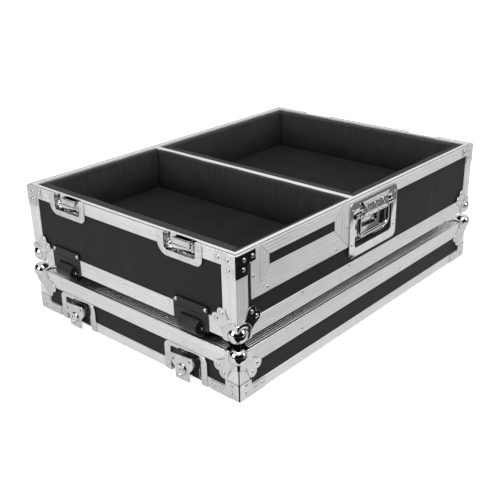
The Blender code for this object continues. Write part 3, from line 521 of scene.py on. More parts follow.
class Shade(Tree):
    """A material with a Principled shader."""

    def __init__(self, name, **links):
        self.material = bpy.data.materials.new(name)
        super().__init__(self.material)
        self.place = self.node("ShaderNodeTexCoord", output="Object")
        self.set(**links)

    def set(self, **links):
        """Sets sockets of the Principled shader, or links what varies over the surface to them."""
        for socket, value in links.items():
            self.feed(self.nodes["Principled BSDF"].inputs[socket.replace("_", " ")], value)
        return self.material

    def noise(self, scale, detail, rough):
        """Fractal noise from 0 to 1, in waves per metre: one number, or one for each axis."""
        place = self.place
        if hasattr(scale, "__len__"):
            inputs = {"Vector": place, "Scale": scale}
            place, scale = self.node("ShaderNodeMapping", {"vector_type": "POINT"}, inputs), 1.0
        inputs = {"Vector": place, "Scale": scale, "Detail": detail, "Roughness": rough}
        return self.node("ShaderNodeTexNoise", {"normalize": True}, inputs)

    def cells(self, scale, feature="F1", output=0):
        """A cell pattern, in cells per metre."""
        inputs = {"Vector": self.place, "Scale": scale}
        return self.node("ShaderNodeTexVoronoi", {"feature": feature}, inputs, output)

    def between(self, value, low, high):
        """The value mapped so that low gives 0 and high gives 1, and clamped."""
        inputs = {"Value": value, "From Min": low, "From Max": high}
        return self.node("ShaderNodeMapRange", {"clamp": True}, inputs)

    def window(self, value, low, high, soft=0.0003):
        """1 where the value lies between two bounds, and 0 outside them, with soft edges."""
        return self.between(value, low - soft, low) * (1 - self.between(value, high, high + soft))

    def split(self):
        """The place along x, y and z."""
        apart = self.node("ShaderNodeSeparateXYZ", None, {0: self.place})
        return [Value(self, output) for output in apart.socket.node.outputs]

    def painted_seam_shadow(self):
        """Painted shadow, with some dirt, in the seam down the lid's four upright edges: 1 within a few
        millimetres of both sides.
        """
        x, y, z = self.split()
        outside, post_low, post_high = 0.0015, 0.036, 0.0830
        away = (HALF_LENGTH + outside - abs(x)).larger(HALF_WIDTH + outside - abs(y))
        away = away - self.window(z, post_low, post_high) * 0.0009
        return (1 - self.between(away, 0.0021, 0.0027)) * (1 - self.between(z, post_high, post_high + 0.0010))

    def blend(self, share, first, second):
        """A colour between two colours."""
        return self.node("ShaderNodeMix", {"data_type": "RGBA"}, {0: share, 6: first, 7: second}, output=2)

    def layered(self, found, base, *layers):
        """A colour under layers, each the base colour times a factor, laid over it by a share."""
        for share, factor in layers:
            found = self.blend(share, found, tinted(base, factor))
        return found

    def tones(self, base, tone, low, high, *layers):
        """The base colour times low to high by a tone, under layers."""
        return self.layered(self.blend(tone, tinted(base, low), tinted(base, high)), base, *layers)

    def bump(self, height, distance, strength, under=None):
        """A bump of a height map, on top of another bump."""
        inputs = {"Height": height, "Distance": distance, "Strength": strength}
        if under is not None:
            inputs["Normal"] = under
        return self.node("ShaderNodeBump", None, inputs)


def tinted(base, factor):
    """A colour scaled by a number."""
    return tuple(min(1.0, channel * factor) for channel in base)


@cache
def aluminium(axis):
    """Extruded aluminium with fine lines along one axis, faint smudges and a few handling marks."""
    s = sizes()
    made = Shade(f"aluminium_along_{axis}")
    lines, drawn = (
        made.noise([slow if axis == name else fast for name in "xyz"], 2.0, rough)
        for slow, fast, rough in ((7.0, 900.0, 0.6), (2.5, 170.0, 0.5))
    )
    smudge = made.noise(26.0, 4.0, 0.6)
    marks = made.between(made.noise(310.0, 2.0, 0.5), 0.68, 0.76)
    tone = made.between(lines * 0.45 + drawn * 0.3 + smudge * 0.25, 0.3, 0.7)
    x, y, z = made.split()
    inset = (HALF_LENGTH - abs(x)).smaller(HALF_WIDTH - abs(y))
    # Painted shade: the colour is darkened in the rim's groove and down the corner seams, where their shadow
    # falls
    groove = made.window(inset, s.groove_inset, s.groove_inset + s.groove_width, 0.0002)
    groove = groove * made.window(z, RIM_TOP - s.groove_depth - 0.0004, RIM_TOP - 0.0005)
    painted_groove_seam_shade = (groove * 0.9).larger(made.painted_seam_shadow())
    closed_face = made.window(z, LID_TOP - 0.0018, BASE_BOTTOM + 0.0014)
    return made.set(
        Base_Color=made.tones(finishes().aluminium, tone, 0.86, 1.1, (marks * 0.5, 0.62), (painted_groove_seam_shade, 0.04)),
        Roughness=(0.34 + smudge * 0.16 + lines * 0.08) * (1 - closed_face * 0.5),
        Metallic=0.5 + closed_face * 0.45,
        Normal=made.bump(lines * 0.6 + drawn * 0.4, 0.00006, 0.5),
    )


@cache
def laminate():
    """Black phenolic laminate: a fine pebbled texture, a faint cloudiness and light rub marks."""
    made = Shade("black_laminate_board", Specular_IOR_Level=0.16)
    grain = made.noise(1400.0, 2.0, 0.6)
    cloud = made.noise(9.0, 4.0, 0.55)
    rub = made.between(made.noise((40.0, 40.0, 7.0), 3.0, 0.6), 0.6, 0.74)
    tone = made.between(cloud * 0.7 + grain * 0.3, 0.32, 0.68)
    return made.set(
        Base_Color=made.tones(finishes().laminate, tone, 0.82, 1.2, (rub * 0.12, 2.2)),
        Roughness=0.46 + cloud * 0.14 - rub * 0.06,
        Normal=made.bump(made.cells(620.0, "SMOOTH_F1") + grain * 0.3, 0.00012, 0.45),
    )


@cache
def foam():
    """Closed-cell foam: fine open pores on the cut faces and a dusty, uneven black with streaks, a painted
    highlight along its top edge, painted sheen up the walls and painted shade at their foot.
    """
    base = finishes().foam
    made = Shade("black_foam_lining", Specular_IOR_Level=0.2)
    pits = made.between(made.cells(900.0), 0.12, 0.42)
    cloud = made.noise(16.0, 4.0, 0.6)
    dust = made.between(made.noise(120.0, 4.0, 0.7), 0.56, 0.8)
    colours = made.tones(base, made.between(cloud, 0.34, 0.66), 0.55, 1.6)
    colours = made.blend(pits * 0.5, tinted(base, 0.45), colours)
    height = made.split()[2]
    streak = made.noise((190.0, 190.0, 9.0), 4.0, 0.62)
    # Painted sheen: the walls grow lighter from near the floor towards the top, under random vertical streaks
    rise = made.between(height, FLOOR_TOP + 0.012, RIM_TOP - 0.025)
    # Painted shade: the floor and the foot of the walls are darkened where the walls meet the floor
    foot = made.window(height, FLOOR_TOP + 0.0015, FLOOR_TOP + 0.006, 0.004)
    # Painted highlight: the foam grows lighter near its top edge, where the light falls
    painted_top_light = made.between(height, RIM_TOP - 0.0058, RIM_TOP - 0.0030) * (0.25 + cloud * 0.8)
    streaks_and_painted_sheen = rise * (0.2 + streak * 0.95)
    colours = made.layered(colours, base, (dust * 0.16, 4.0), (streaks_and_painted_sheen, 3.0), (foot * 0.6, 0.35), (painted_top_light, 2.9))
    bump = made.bump(pits, 0.00025, 0.55, made.bump(cloud, 0.0012, 0.35))
    return made.set(Base_Color=colours, Roughness=0.9 + cloud * 0.1, Normal=bump)


@cache
def zinc():
    """Bright zinc on pressed steel: soft patches, fine scratches and a slightly uneven sheet."""
    made = Shade("zinc_on_steel", Metallic=1.0)
    patch = made.noise(60.0, 4.0, 0.6)
    spangle = made.node("ShaderNodeSeparateColor", None, {"Color": made.cells(240.0, output="Color")}, "Red")
    scratch = made.between(made.noise((60.0, 900.0, 700.0), 2.0, 0.5), 0.66, 0.74)
    tone = made.between(patch * 0.75 + spangle * 0.25, 0.25, 0.75)
    # Painted shadow, with some dirt, in the seams: it darkens the colour and roughens the surface down the
    # lid's upright edges
    seam_shadow = made.painted_seam_shadow()
    return made.set(
        Base_Color=made.tones(finishes().zinc, tone, 0.82, 1.14, (seam_shadow, 0.03)),
        Roughness=0.04 + patch * 0.06 + spangle * 0.02 + scratch * 0.10 + seam_shadow * 0.3,
        Normal=made.bump(scratch, 0.00003, 0.4, made.bump(patch, 0.0004, 0.35)),
    )


@cache
def chrome():
    """Bright plating on formed steel, with faint haze and ripples."""
    made = Shade("bright_plating", Metallic=1.0)
    haze = made.noise(75.0, 4.0, 0.6)
    return made.set(
        Base_Color=made.tones(finishes().chrome, made.between(haze, 0.3, 0.7), 0.9, 1.08),
        Roughness=0.03 + haze * 0.08,
        Normal=made.bump(haze, 0.0003, 0.3),
    )


@cache
def paint():
    """Semi-matt black paint with a slight orange peel and edge rubs."""
    made = Shade("black_paint", Specular_IOR_Level=0.3)
    cloud = made.noise(45.0, 4.0, 0.6)
    rub = made.between(made.noise(230.0, 4.0, 0.7), 0.66, 0.8)
    colours = made.tones(finishes().paint, made.between(cloud, 0.3, 0.7), 0.75, 1.3)
    return made.set(
        Base_Color=made.blend(rub * 0.15, colours, (0.08, 0.08, 0.08)),
        Roughness=0.32 + cloud * 0.16,
        Normal=made.bump(made.noise(700.0, 2.0, 0.5), 0.00008, 0.4),
    )


@cache
def rubber():
    """Moulded rubber: a matt, dusty black with scuffs."""
    made = Shade("black_rubber_wheel", Specular_IOR_Level=0.4)
    cloud = made.noise(55.0, 4.0, 0.6)
    scuff = made.between(made.noise((500.0, 60.0, 500.0), 4.0, 0.65), 0.55, 0.75)
    return made.set(
        Base_Color=made.tones(finishes().rubber, made.between(cloud, 0.3, 0.7), 0.7, 1.3, (scuff * 0.4, 3.0)),
        Roughness=0.36 + cloud * 0.2 + scuff * 0.14,
        Normal=made.bump(made.noise(1500.0, 2.0, 0.5), 0.0001, 0.35),
    )


@cache
def painted_recess_shade():
    """A darker, duller copy of the steel: painted shade inside the recesses, holes and slots."""
    made = Shade("recess_painted_shade", Metallic=0.7)
    patch = made.noise(90.0, 4.0, 0.6)
    return made.set(
        Base_Color=made.tones(finishes().recess, made.between(patch, 0.3, 0.7), 0.7, 1.4),
        Roughness=0.36 + patch * 0.2,
        Normal=made.bump(patch, 0.0004, 0.4),
    )


SLOT_FINISHES = {
    "aluminium_extrusion": ((aluminium, "x"), (aluminium, "y"), (aluminium, "z"), (chrome,)),
    "black_foam": ((foam,),),
    "zinc_plated_steel": ((zinc,), (painted_recess_shade,)),
    "chromed_steel": ((chrome,), (painted_recess_shade,), (zinc,)),
    "black_steel": ((paint,), (painted_recess_shade,), (zinc,)),
    "black_rubber": ((rubber,),),
}


def ribbed(reach, count, depth, bead=0.0022):
    """A leg's outer face from its free edge to the corner: (distance, depth) with shallow round grooves."""
    place = np.linspace(bead, reach - bead, count * 8 + 1)
    wave = 0.5 - 0.5 * np.cos(2 * math.pi * count * (place - bead) / (reach - 2 * bead))
    edge = np.array([(0.0, 0.0009), (0.0002, 0.0004), (0.0007, 0.0)])
    return joined(edge, np.stack([place, depth * wave**3], axis=1))


def angle_profile(leg_a, leg_b, ribs, deeper=1.0):
    """An L extrusion's closed profile, its legs along a and b from the rounded corner at (0, 0)."""
    s = sizes()
    round_off, wall = s.edge_round, s.sheet
    first = ribbed(leg_a - round_off, ribs, s.rib_depth * deeper)
    second = ribbed(leg_b - round_off, ribs, s.rib_depth)
    outer_a = np.stack([leg_a - first[:, 0], first[:, 1]], axis=1)
    outer_b = np.stack([second[:, 1], leg_b - second[:, 0]], axis=1)[::-1]
    bend = arc((round_off, round_off), round_off, 270, 180, 6)
    return joined(outer_a, bend[1:-1], outer_b, [(wall, leg_b), (wall, wall), (leg_a, wall)])


def runs_round(made, paths, height, up, profile):
    """Adds one profile along paths of (x, y) points on the case's outline, stepping inwards at each."""
    for path in paths:
        points = np.array(path, float)
        on_outline = np.abs(np.abs(points) - (HALF_LENGTH, HALF_WIDTH)) < 1e-6
        runs = np.abs(np.diff(points, axis=0))
        slots = np.where(runs[:, 0] > runs[:, 1], 0, 1)
        inwards = with_depth(-np.sign(points) * on_outline, 0)
        made.add(sweep(with_depth(points, height), inwards, up, profile, slot=slots))


def mitred_bars(made, origins, steps, profile, slots):
    """Adds one bar for each run of a path, each stopping just short of the mitres that it meets."""
    origins, steps = np.array(origins, float), np.array(steps, float)
    closed, last = len(slots) == len(origins), len(slots) - 1
    for run, slot in enumerate(slots):
        following = (run + 1) % len(origins)
        along = origins[following] - origins[run]
        along *= sizes().mitre / np.linalg.norm(along)
        start = origins[run] + along * (closed or run > 0)
        end = origins[following] - along * (closed or run < last)
        made.add(sweep([start, end], steps[[run, following]], (0, 1, 0), profile, slot=slot))


def corner_posts(made, low, high):
    """Adds the four upright angle extrusions between two heights."""
    s = sizes()
    profile = angle_profile(s.corner_leg, s.band, 3)
    for x, y in CORNERS:
        ends = [(x * HALF_LENGTH, y * HALF_WIDTH, height) for height in (low, high)]
        made.add(sweep(ends, (-x, 0, 0), (0, -y, 0), profile, slot=2))


def rivets(made, side, *places):
    """Adds rivets on one side of the case at (along, height) places."""
    head = dome(hardware().small_rivet, 0.0015)
    made.add(head, [on_side(side, along, height) for along, height in places], 3)


def rim_section(leg, crest):
    """The rim extrusion: a leg down the outside, and a web over the board's edge with a groove or tongue."""
    s = sizes()
    turn = s.edge_round * 0.6
    lines = ribbed(leg - turn, 3, s.rib_depth * 0.7)
    outer = np.stack([lines[:, 1], leg - lines[:, 0]], axis=1)
    bend = arc((turn, turn), turn, 180, 270, 5)[1:]
    back = arc((s.rim_width - 0.0008, 0.0008), 0.0008, 270, 360, 3)
    return joined(outer, bend, crest, back, [(s.rim_width, s.rim_web), (s.sheet, s.rim_web), (s.sheet, leg)])


def grooved_web(*start):
    """The rest of a web from its first points: the rim's groove, cut square, and its back."""
    s = sizes()
    inner, outer = s.groove_inset, s.groove_inset + s.groove_width
    groove = [(inner, 0), (inner, s.groove_depth), (outer, s.groove_depth), (outer, 0)]
    return joined(start, groove, [(s.rim_width, 0), (s.rim_width, s.rim_web)])


def rim_runs(half_cut, opening, height, up, section):
    """A rim between the latches' cuts and beside the opening, with a plain strip behind each cut."""
    s = sizes()
    x, y = HALF_LENGTH, HALF_WIDTH
    low, high = (
        (middle - half_cut, middle + half_cut)
        for middle in (middle_of("latch_dish_1", 1), middle_of("latch_dish_2", 1))
    )
    front = [(-x, low[0]), (-x, -y), (x, -y), (x, low[0])]
    fronts = [[(opening[1], -y), *front[2:]], [*front[:2], (opening[0], -y)]] if opening else [front]
    back = [(x, high[1]), (x, y), (-x, y), (-x, high[1])]
    made = Surface()
    ends = [[(x, low[1]), (x, high[0])], back, [(-x, high[0]), (-x, low[1])]]
    runs_round(made, [*fronts[:1], *ends, *fronts[1:]], height, up, section)
    inner = hardware().pan + GAP
    across, thick = (s.rim_width - inner) / 2, s.rim_web / 2
    strip = rectangle(across, thick, 0.0005, (inner + across, thick), 2)
    strips = [[(end, cut[0] - 0.0005), (end, cut[1] + 0.0005)] for end in (-x, x) for cut in (low, high)]
    runs_round(made, strips, height, up, strip)
    return made


def build_lid_metal():
    """The lid's edge extrusions, corner posts and rim, whose tongue fits the base's groove."""
    s = sizes()
    small = hardware().small_rivet
    profile = angle_profile(s.band, s.band, 5, 1.7)
    outline = with_depth(CORNERS * (HALF_LENGTH, HALF_WIDTH), LID_TOP)
    made = Surface()
    made.add(sweep(outline, with_depth(-CORNERS, 0), (0, 0, -1), profile, closed=True, slot=[0, 1, 0, 1]))
    corner_posts(made, s.rim_leg + GAP, LID_TOP - s.band - GAP / 2)
    for side in ("front", "back"):
        rivets(made, side, (-0.239, 0.0765), (0.117, 0.0765))
    from_edge = 0.021
    top = [(x, y * (HALF_WIDTH - from_edge)) for x in (-0.240, -0.123, 0.075) for y in (-1, 1)]
    top += [(x * (HALF_LENGTH - from_edge), y) for y in (-0.097, 0.079) for x in (-1, 1)]
    add_heads(made, LID_TOP, (small * 1.05, 0.0020, top), slot=3)
    piece("lid_edge_extrusions", made, "aluminium_extrusion", "lid", "lid_edge_frame")

    tall, bevel = 0.0025, 0.0004
    low, high = s.groove_inset + GAP, s.groove_inset + s.groove_width - GAP
    tongue = [(low, 0), (low, bevel - tall), (low + bevel, -tall)]
    tongue += [(high - bevel, -tall), (high, bevel - tall), (high, 0)]
    start = float(extent("lid_rim_frame")[0][2]) + tall
    rim = rim_runs(0.0425, None, start, (0, 0, 1), rim_section(s.rim_leg - tall, tongue))
    piece("lid_rim_extrusion", rim, "aluminium_extrusion", "lid", "lid_rim_frame")


def build_base_metal():
    """The base's edge extrusions, corner posts and grooved rim."""
    s = sizes()
    x, y = HALF_LENGTH, HALF_WIDTH
    made = Surface()
    room = 0.0278
    near, far = middle_of("near_wheel_housing", 1), middle_of("far_wheel_housing", 1)
    round_case = [(-x, far + room), (-x, y), (x, y), (x, -y), (-x, -y), (-x, near - room)]
    paths = [round_case, [(-x, near + room), (-x, far - room)]]
    runs_round(made, paths, BASE_BOTTOM, (0, 0, 1), angle_profile(s.band, s.band, 5))
    corner_posts(made, BASE_BOTTOM + s.band + GAP / 2, RIM_TOP - s.rim_leg - GAP)
    for side in ("front", "back"):
        rivets(made, side, (-0.240, 0.156), (-0.084, 0.156), (0.099, 0.156))
    rivets(made, "wheel_end", (-0.126, 0.152), (-0.001, 0.152))
    rivets(made, "pull_end", (-0.126, 0.152), (0.126, 0.152))
    piece("base_edge_extrusions", made, "aluminium_extrusion", "base", "base_edge_frame")

    left, right = float(OPENING_LOW[0]) - GAP, float(OPENING_HIGH[0]) + GAP
    low, high, lip = s.groove_inset, s.groove_inset + s.groove_width, 0.0004
    groove = [(low - lip, 0), (low, lip), (low, s.groove_depth)]
    groove += [(high, s.groove_depth), (high, lip), (high + lip, 0)]
    rim = rim_runs(0.0415, (left, right), RIM_TOP, (0, 0, -1), rim_section(s.rim_leg, groove))
    stub = s.access_leg - s.sheet - GAP
    stubs = [[(left, -y), (left + stub, -y)], [(right - stub, -y), (right, -y)]]
    inner = s.sheet + GAP
    runs_round(rim, stubs, RIM_TOP, (0, 0, -1), grooved_web((inner, s.rim_web), (inner, 0)))
    piece("base_rim_extrusion", rim, "aluminium_extrusion", "base", "base_rim_frame")


def build_access_metal():
    """The trim round the access opening, the panel's mitred trim with its grooved top, the divider's cap."""
    s = sizes()
    leg = s.access_leg
    face = joined(ribbed(leg, 3, s.rib_depth * 0.8)[:-1], [(leg - 0.0005, 0), (leg, 0.0005)])

    def frame_path(low, high, top_step):
        """Down one side of a frame on the case's front, along its sill and up, with its inward steps."""
        points = [(low[0], high[2]), (low[0], low[2]), (high[0], low[2]), (high[0], high[2])]
        steps = [(1, top_step), (1, 1), (-1, 1), (-1, top_step)]
        return [(x, -HALF_WIDTH, z) for x, z in points], [(x, 0, z) for x, z in steps]

    channel = [(leg, s.rim_width), (leg - s.sheet, s.rim_width), (leg - s.sheet, s.sheet), (0, s.sheet)]
    left, right = float(OPENING_LOW[0]), float(OPENING_HIGH[0])
    made = Surface()
    path = frame_path(OPENING_LOW, (right, 0, RIM_TOP), 0)
    mitred_bars(made, *path, joined(face, channel), [2, 0, 2])
    heads = [(0.007, 0.2417), (0.0444, 0.2069)]
    rivets(made, "front", *((end + sign * u, v) for end, sign in ((left, 1), (right, -1)) for u, v in heads))
    piece("access_opening_frame", made, "aluminium_extrusion", "base", "access_opening_trim")

    low, high = extent("access_panel_trim")
    panel = Surface()
    mitred_bars(panel, *frame_path(low, high, -1), joined(face, [(leg, s.sheet), (0, s.sheet)]), [2, 0, 2, 0])
    web = grooved_web((s.sheet - 0.0002, s.rim_web), (0.0004, 0.0004), (0.0008, 0))
    ends = [(x, -HALF_WIDTH, high[2]) for x in (low[0], high[0])]
    panel.add(sweep(ends, (0, 1, 0), (0, 0, -1), web))
    piece("access_panel_frame", panel, "aluminium_extrusion", "access_panel", "access_panel_trim")

    low, high = extent("divider_cap")
    board_low, board_high = extent("divider_board")
    half, inside = float(high[0] - low[0]) / 2, float(board_high[0] - board_low[0]) / 2 + GAP
    level, rounding = RIM_TOP - 0.0017, 0.0042
    tall = level - float(low[2])
    outer = joined(
        [(-half, tall - 0.0004), (0.0002 - half, rounding + 0.0004)],
        arc((rounding + 0.0002 - half, rounding + 0.0002), rounding, 180, 270, 7),
        [(0.4 * (rounding - half), 0.00015)],
    )
    inner = [(half - 0.0004, tall), (inside, tall), (inside, half - inside)]
    middle, reach = middle_of("divider_cap", 0), HALF_WIDTH - s.rim_width - 0.0004
    ends = [(middle, -reach, level), (middle, reach, level)]
    section = joined(outer, flipped(outer), inner, flipped(inner))
    cap = sweep(ends, (1, 0, 0), (0, 0, -1), section, slot=1)
    piece("divider_cap_extrusion", cap, "aluminium_extrusion", "base", "divider_cap")


def wander(points, amount, seed):
    """A slow, smooth unevenness: sums of sines of the place, different on each axis."""
    x, y, z = points.T * 2 * math.pi
    first = np.sin(x * 9.1 + y * 4.3 + z * 6.7 + seed)
    first += 0.6 * np.sin(x * 3.7 - y * 11.9 + z * 15.1 + 2 * seed)
    second = np.sin(y * 8.3 - x * 5.9 + z * 12.7 + 3 * seed) + 0.6 * np.sin(y * 17.3 + x * 2.1 + seed)
    third = np.sin(x * 7.7 + y * 6.1 + 1.7 * seed) + 0.5 * np.sin(x * 19.1 - y * 14.9 + seed)
    return points + amount * 0.4 * np.stack([first, second, third], axis=1)


def slab(low, high, round_off, wave, seed):
    """A foam slab: a rounded rectangle in its two shorter axes, carried along the longest one.

    Its ends are rounded too: ring k is drawn in by r (1 - sin) as it comes forward by r (1 - cos).
    """
    low, high = np.array(low, float) + wave * 0.9, np.array(high, float) - wave * 0.9
    size, centre = high - low, (low + high) / 2
    main = int(np.argmax(size))
    others = [axis for axis in range(3) if axis != main]
    round_off = min(round_off, size.min() * 0.45)
    turn = np.radians([0, 18, 40, 64, 90])
    advance, drawn_in = round_off * (1 - np.cos(turn)), round_off * (1 - np.sin(turn))
    count = max(6, int(size[main] / 0.008))
    straight = np.linspace(round_off, size[main] - round_off, count)[1:-1]
    along = np.concatenate([advance, straight, size[main] - advance[::-1]])
    drawn = np.concatenate([drawn_in, np.zeros(count - 2), drawn_in[::-1]])
    ring = densified(rectangle(*size[others] / 2, round_off, steps=5), 0.010)
    points = np.zeros((len(along), len(ring), 3))
    points[:, :, main] = low[main] + along[:, None]
    points[:, :, others] = centre[others] + ring * (1 - drawn[:, None, None] * 2 / size[others])
    points = wander(points.reshape(-1, 3), wave, seed).reshape(points.shape)
    return Surface().grid(points, columns_close=True).cap(points[0]).cap(points[-1])


def wall_pad(low, high, side, seed, room=None):
    """A pad on a wall: its face stands inside the rim's web and up to its top, on a backing under the web.

    A side is its axis and sign. The backing starts at room from the case's outside.
    """
    s = sizes()
    axis, end = side
    clear, backing, play = 0.0006, 0.0205, 0.0004
    fold = (HALF_LENGTH, HALF_WIDTH)[axis]
    outer, inner = (0, 1) if end < 0 else (1, 0)
    room = room or (s.foam_recess if side in ((0, 1), (1, -1)) else s.foam_back)
    front, back = np.array((low, high), float), np.array((low, high), float)
    front[outer, axis] = end * (fold - s.rim_width - clear)
    back[outer, axis] = end * (fold - room)
    back[inner, axis] = end * (fold - backing)
    back[:, 1 - axis] += play, -play
    back[0, 2] += clear
    back[1, 2] = min(back[1, 2], RIM_TOP - s.rim_web - clear)
    made = slab(*front, s.foam_round, s.foam_wave, seed)
    if np.ptp(back[:, axis]) > 0.003:
        made.add(slab(*back, 0.001, 0.0, seed + 0.4))
    return made


def foam_piece(name, made, body, node):
    """A foam piece with the foam's finish."""
    piece(name, made, "black_foam", body, node, smooth=60)


def compartment(name, node, ends, insets, opening, seed):
    """Front, back and end pads round a floor; the front pads stop at the access opening's edges and sill."""
    s = sizes()
    (x_low, x_high), (front, back, left, right) = ends, insets
    below_floor, clear, play, tuck = 0.012, 0.0006, 0.0002, 0.004
    top, foot = RIM_TOP - s.foam_drop, FLOOR_TOP - below_floor
    y_front, y_back = -HALF_WIDTH + front, HALF_WIDTH - back
    left_face, right_face = x_low + left, x_high - right
    spans = [(x_low, x_high, top)]
    if opening:
        start, end, sill = opening[0] - clear, opening[1] + clear, opening[2] - clear
        spans = [(x_low, start, top), (start, end, sill), (end, x_high, top)]
    made = Surface()
    for number, (start, end, height) in enumerate(spans):
        made.add(wall_pad((start, 0, foot), (end, y_front, height), (1, -1), seed + number * 0.9))
    made.add(wall_pad((x_low, y_back, foot), (x_high, 0, top), (1, 1), seed + 1.3))
    for low, high, side in ((x_low, left_face, -1), (right_face, x_high, 1)):
        place = (low, y_front + play, foot), (high, y_back - play, top)
        if max(abs(low), abs(high)) > HALF_LENGTH - 0.02:
            made.add(wall_pad(*place, (0, side), seed + 2.6 + side))
        else:
            made.add(slab(*place, s.foam_round, s.foam_wave, seed + 3.9 + side))
    low = left_face - tuck, y_front - tuck, BASE_BOTTOM + 0.030
    high = right_face + tuck, y_back + tuck, FLOOR_TOP
    made.add(slab(low, high, s.foam_round, s.foam_wave, seed + 6.5))
    foam_piece(name, made, "base", node)


def build_foam():
    """Foam linings of the two compartments, of the access panel and of the lid, pad by pad."""
    s = sizes()
    inner = s.rim_width + 0.0006
    divider_low, divider_high = extent("divider_board")
    low, high = extent("access_panel_foam")
    opening = float(low[0]), float(high[0]), float(low[2])
    near_ends = -HALF_LENGTH + inner, float(divider_low[0]) - GAP
    far_ends = float(divider_high[0]) + GAP, HALF_LENGTH - inner
    near_insets = 0.0275, 0.0270, 0.0405 - inner, 0.0112
    far_insets = 0.0355, 0.0320, 0.0212, 0.0360 - inner
    compartment("near_compartment_foam", "near_foam_liner", near_ends, near_insets, opening, 0.7)
    compartment("far_compartment_foam", "far_foam_liner", far_ends, far_insets, None, 2.9)
    room = HALF_WIDTH + float(extent("access_panel_board")[1][1]) + GAP
    low, high = (opening[0], 0, opening[2]), (opening[1], -HALF_WIDTH + near_insets[0], RIM_TOP - s.foam_drop)
    panel_pad = wall_pad(low, high, (1, -1), 5.1, room)
    foam_piece("access_panel_pad", panel_pad, "access_panel", "access_panel_foam")
    lid_slab = slab(*extent("lid_foam_pad"), s.foam_round * 1.4, s.foam_wave, 8.3)
    foam_piece("lid_pad", lid_slab, "lid", "lid_foam_pad")


def build_boards():
    """The boards keep their solids and get the laminate."""
    for name in ("lid_top_panel", "lid_wall_boards", "base_box", "divider_board", "access_panel_board"):
        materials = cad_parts[name].data.materials
        materials.clear()
        materials.append(laminate())


EAR = np.array((0.050, 0.037))


def collar_outline(inset):
    """Half outline of a ball corner's leg from the fold to the diagonal: collar, waist, rivet ear."""
    h = hardware()
    middle = np.array((inset, inset))
    ear_round, waist_round = 0.011, 0.022
    span = np.linalg.norm(EAR - middle)
    to_waist, from_ear = h.collar + waist_round, ear_round + waist_round
    along = (span**2 + to_waist**2 - from_ear**2) / (2 * span)

    def heading(start, end):
        """The direction from one point to another, in degrees."""
        return math.degrees(math.atan2(end[1] - start[1], end[0] - start[0]))

    bearing = heading(middle, EAR) - math.degrees(math.acos(along / to_waist))
    waist = middle + to_waist * np.array((math.cos(math.radians(bearing)), math.sin(math.radians(bearing))))
    dip = math.degrees(math.acos(np.linalg.norm(EAR - EAR[::-1]) / 2 / ear_round))
    at_edge = math.degrees(math.asin((-(GAP + h.sheet) - inset) / h.collar))
    return joined(
        arc(middle, h.collar, at_edge, bearing, 8),
        arc(waist, waist_round, heading(waist, middle), heading(waist, EAR), 10)[1:],
        arc(EAR, ear_round, heading(EAR, waist), 135 - dip, 14)[1:],
    )


def ball_corner(inset, dimpled):
    """A pressed ball corner in its corner's frame, whose three legs are one surface.

    A leg's point starts on its flat sheet, at P0, whose folds are rounded. From the ball's middle C it is
    then moved along d = (P0 - C) / |P0 - C| to the smooth maximum of the ball's radius and the sheet's own
    distance, raised inside the collar. A dimpled ball is dished at its first leg's pole.
    """
    h = hardware()
    fold, edge, bend = -(GAP + h.sheet), 0.0005, 0.0024
    half = resampled(collar_outline(inset), 44)
    rim = joined(half, half[:-1, ::-1][::-1])
    drawn = inward(joined(rim, (fold, fold)), edge)[:-1]
    drawn[0, 1] = drawn[-1, 0] = fold
    share = np.concatenate([np.linspace(0, 0.5, 22)[:-1], np.linspace(0.5, 1, 20)])[:, None, None]
    skirt = np.stack([rim * 0.7 + drawn * 0.3, rim, rim])
    legs = np.concatenate([share * (drawn - fold), skirt - fold])
    drop = np.concatenate([np.zeros(len(share)), (-0.3 * edge, -edge, -h.sheet)])[:, None]

    turn = np.clip(1 - legs / bend, 0, 1) * math.pi / 4
    depth = (bend * (1 - np.cos(turn))).sum(axis=-1)
    legs = np.where(legs < bend, bend * (1 - np.sin(turn)), legs)
    start = np.concatenate([legs, (depth - drop)[..., None]], axis=-1) + fold
    reach = start - inset
    distance = np.linalg.norm(reach, axis=-1, keepdims=True)
    direction = reach / distance
    across = np.linalg.norm(reach[..., :2], axis=-1, keepdims=True)
    tip = np.degrees(np.arccos(np.clip(-direction.sum(axis=-1, keepdims=True) / math.sqrt(3), -1, 1)))
    near = ease(tip, 13, 24)
    level = distance * near + h.ball * 0.93 * (1 - near)
    ring = ease(across, 0.0150, 0.0185) * (1 - ease(across, h.collar - 0.0020, h.collar - 0.0002))
    level += 0.0016 * ring * (1 - ease(across, h.collar, h.collar + 0.001)) * (tip > 20)
    pole = np.degrees(np.arccos(np.clip(-direction[..., 2:], -1, 1)))
    dish = 0.0034 * (1 - ease(pole, 12, 30)) if dimpled else 0.0
    points = inset + direction * smooth_max(h.ball, level, 0.0011)
    made = Surface().grid(inset + direction * smooth_max(h.ball - dish, level, 0.0011))
    for turn in (1, 2):
        made.grid(np.roll(points, turn, axis=-1))
    for turn in range(3):
        loop = np.roll(points[-1], turn, axis=-1)
        made.grid(np.stack([loop, np.full(loop.shape, inset)]))
    axes = np.array([(0, 1, 0), (1, 0, 0), (0, 0, -1)])
    for ear in (EAR, EAR[::-1]):
        spot = (*ear, fold)
        frames = [placed(np.roll(spot, turn), *np.roll(axes, turn, axis=1)) for turn in range(3)]
        made.add(dome(h.rivet), frames)
    return made


def at_corners(*kinds):
    """Places plated pieces at the four corners: (name, surface, body, node, height, upside down) each."""
    for index in range(4):
        for name, surface, body, node, height, *turn in kinds:
            place = at_corner(index, height, *turn)
            number = index + 1
            piece(f"{name}_{number}", surface, "zinc_plated_steel", body, f"{node}_{number}", place)


def build_ball_corners():
    """Eight ball corners, four under the base and four on the lid."""
    at_corners(
        ("lid_ball", ball_corner(0.007, True), "lid", "lid_ball_corner", LID_TOP, True),
        ("base_ball", ball_corner(0.0105, False), "base", "base_ball_corner", BASE_BOTTOM),
    )


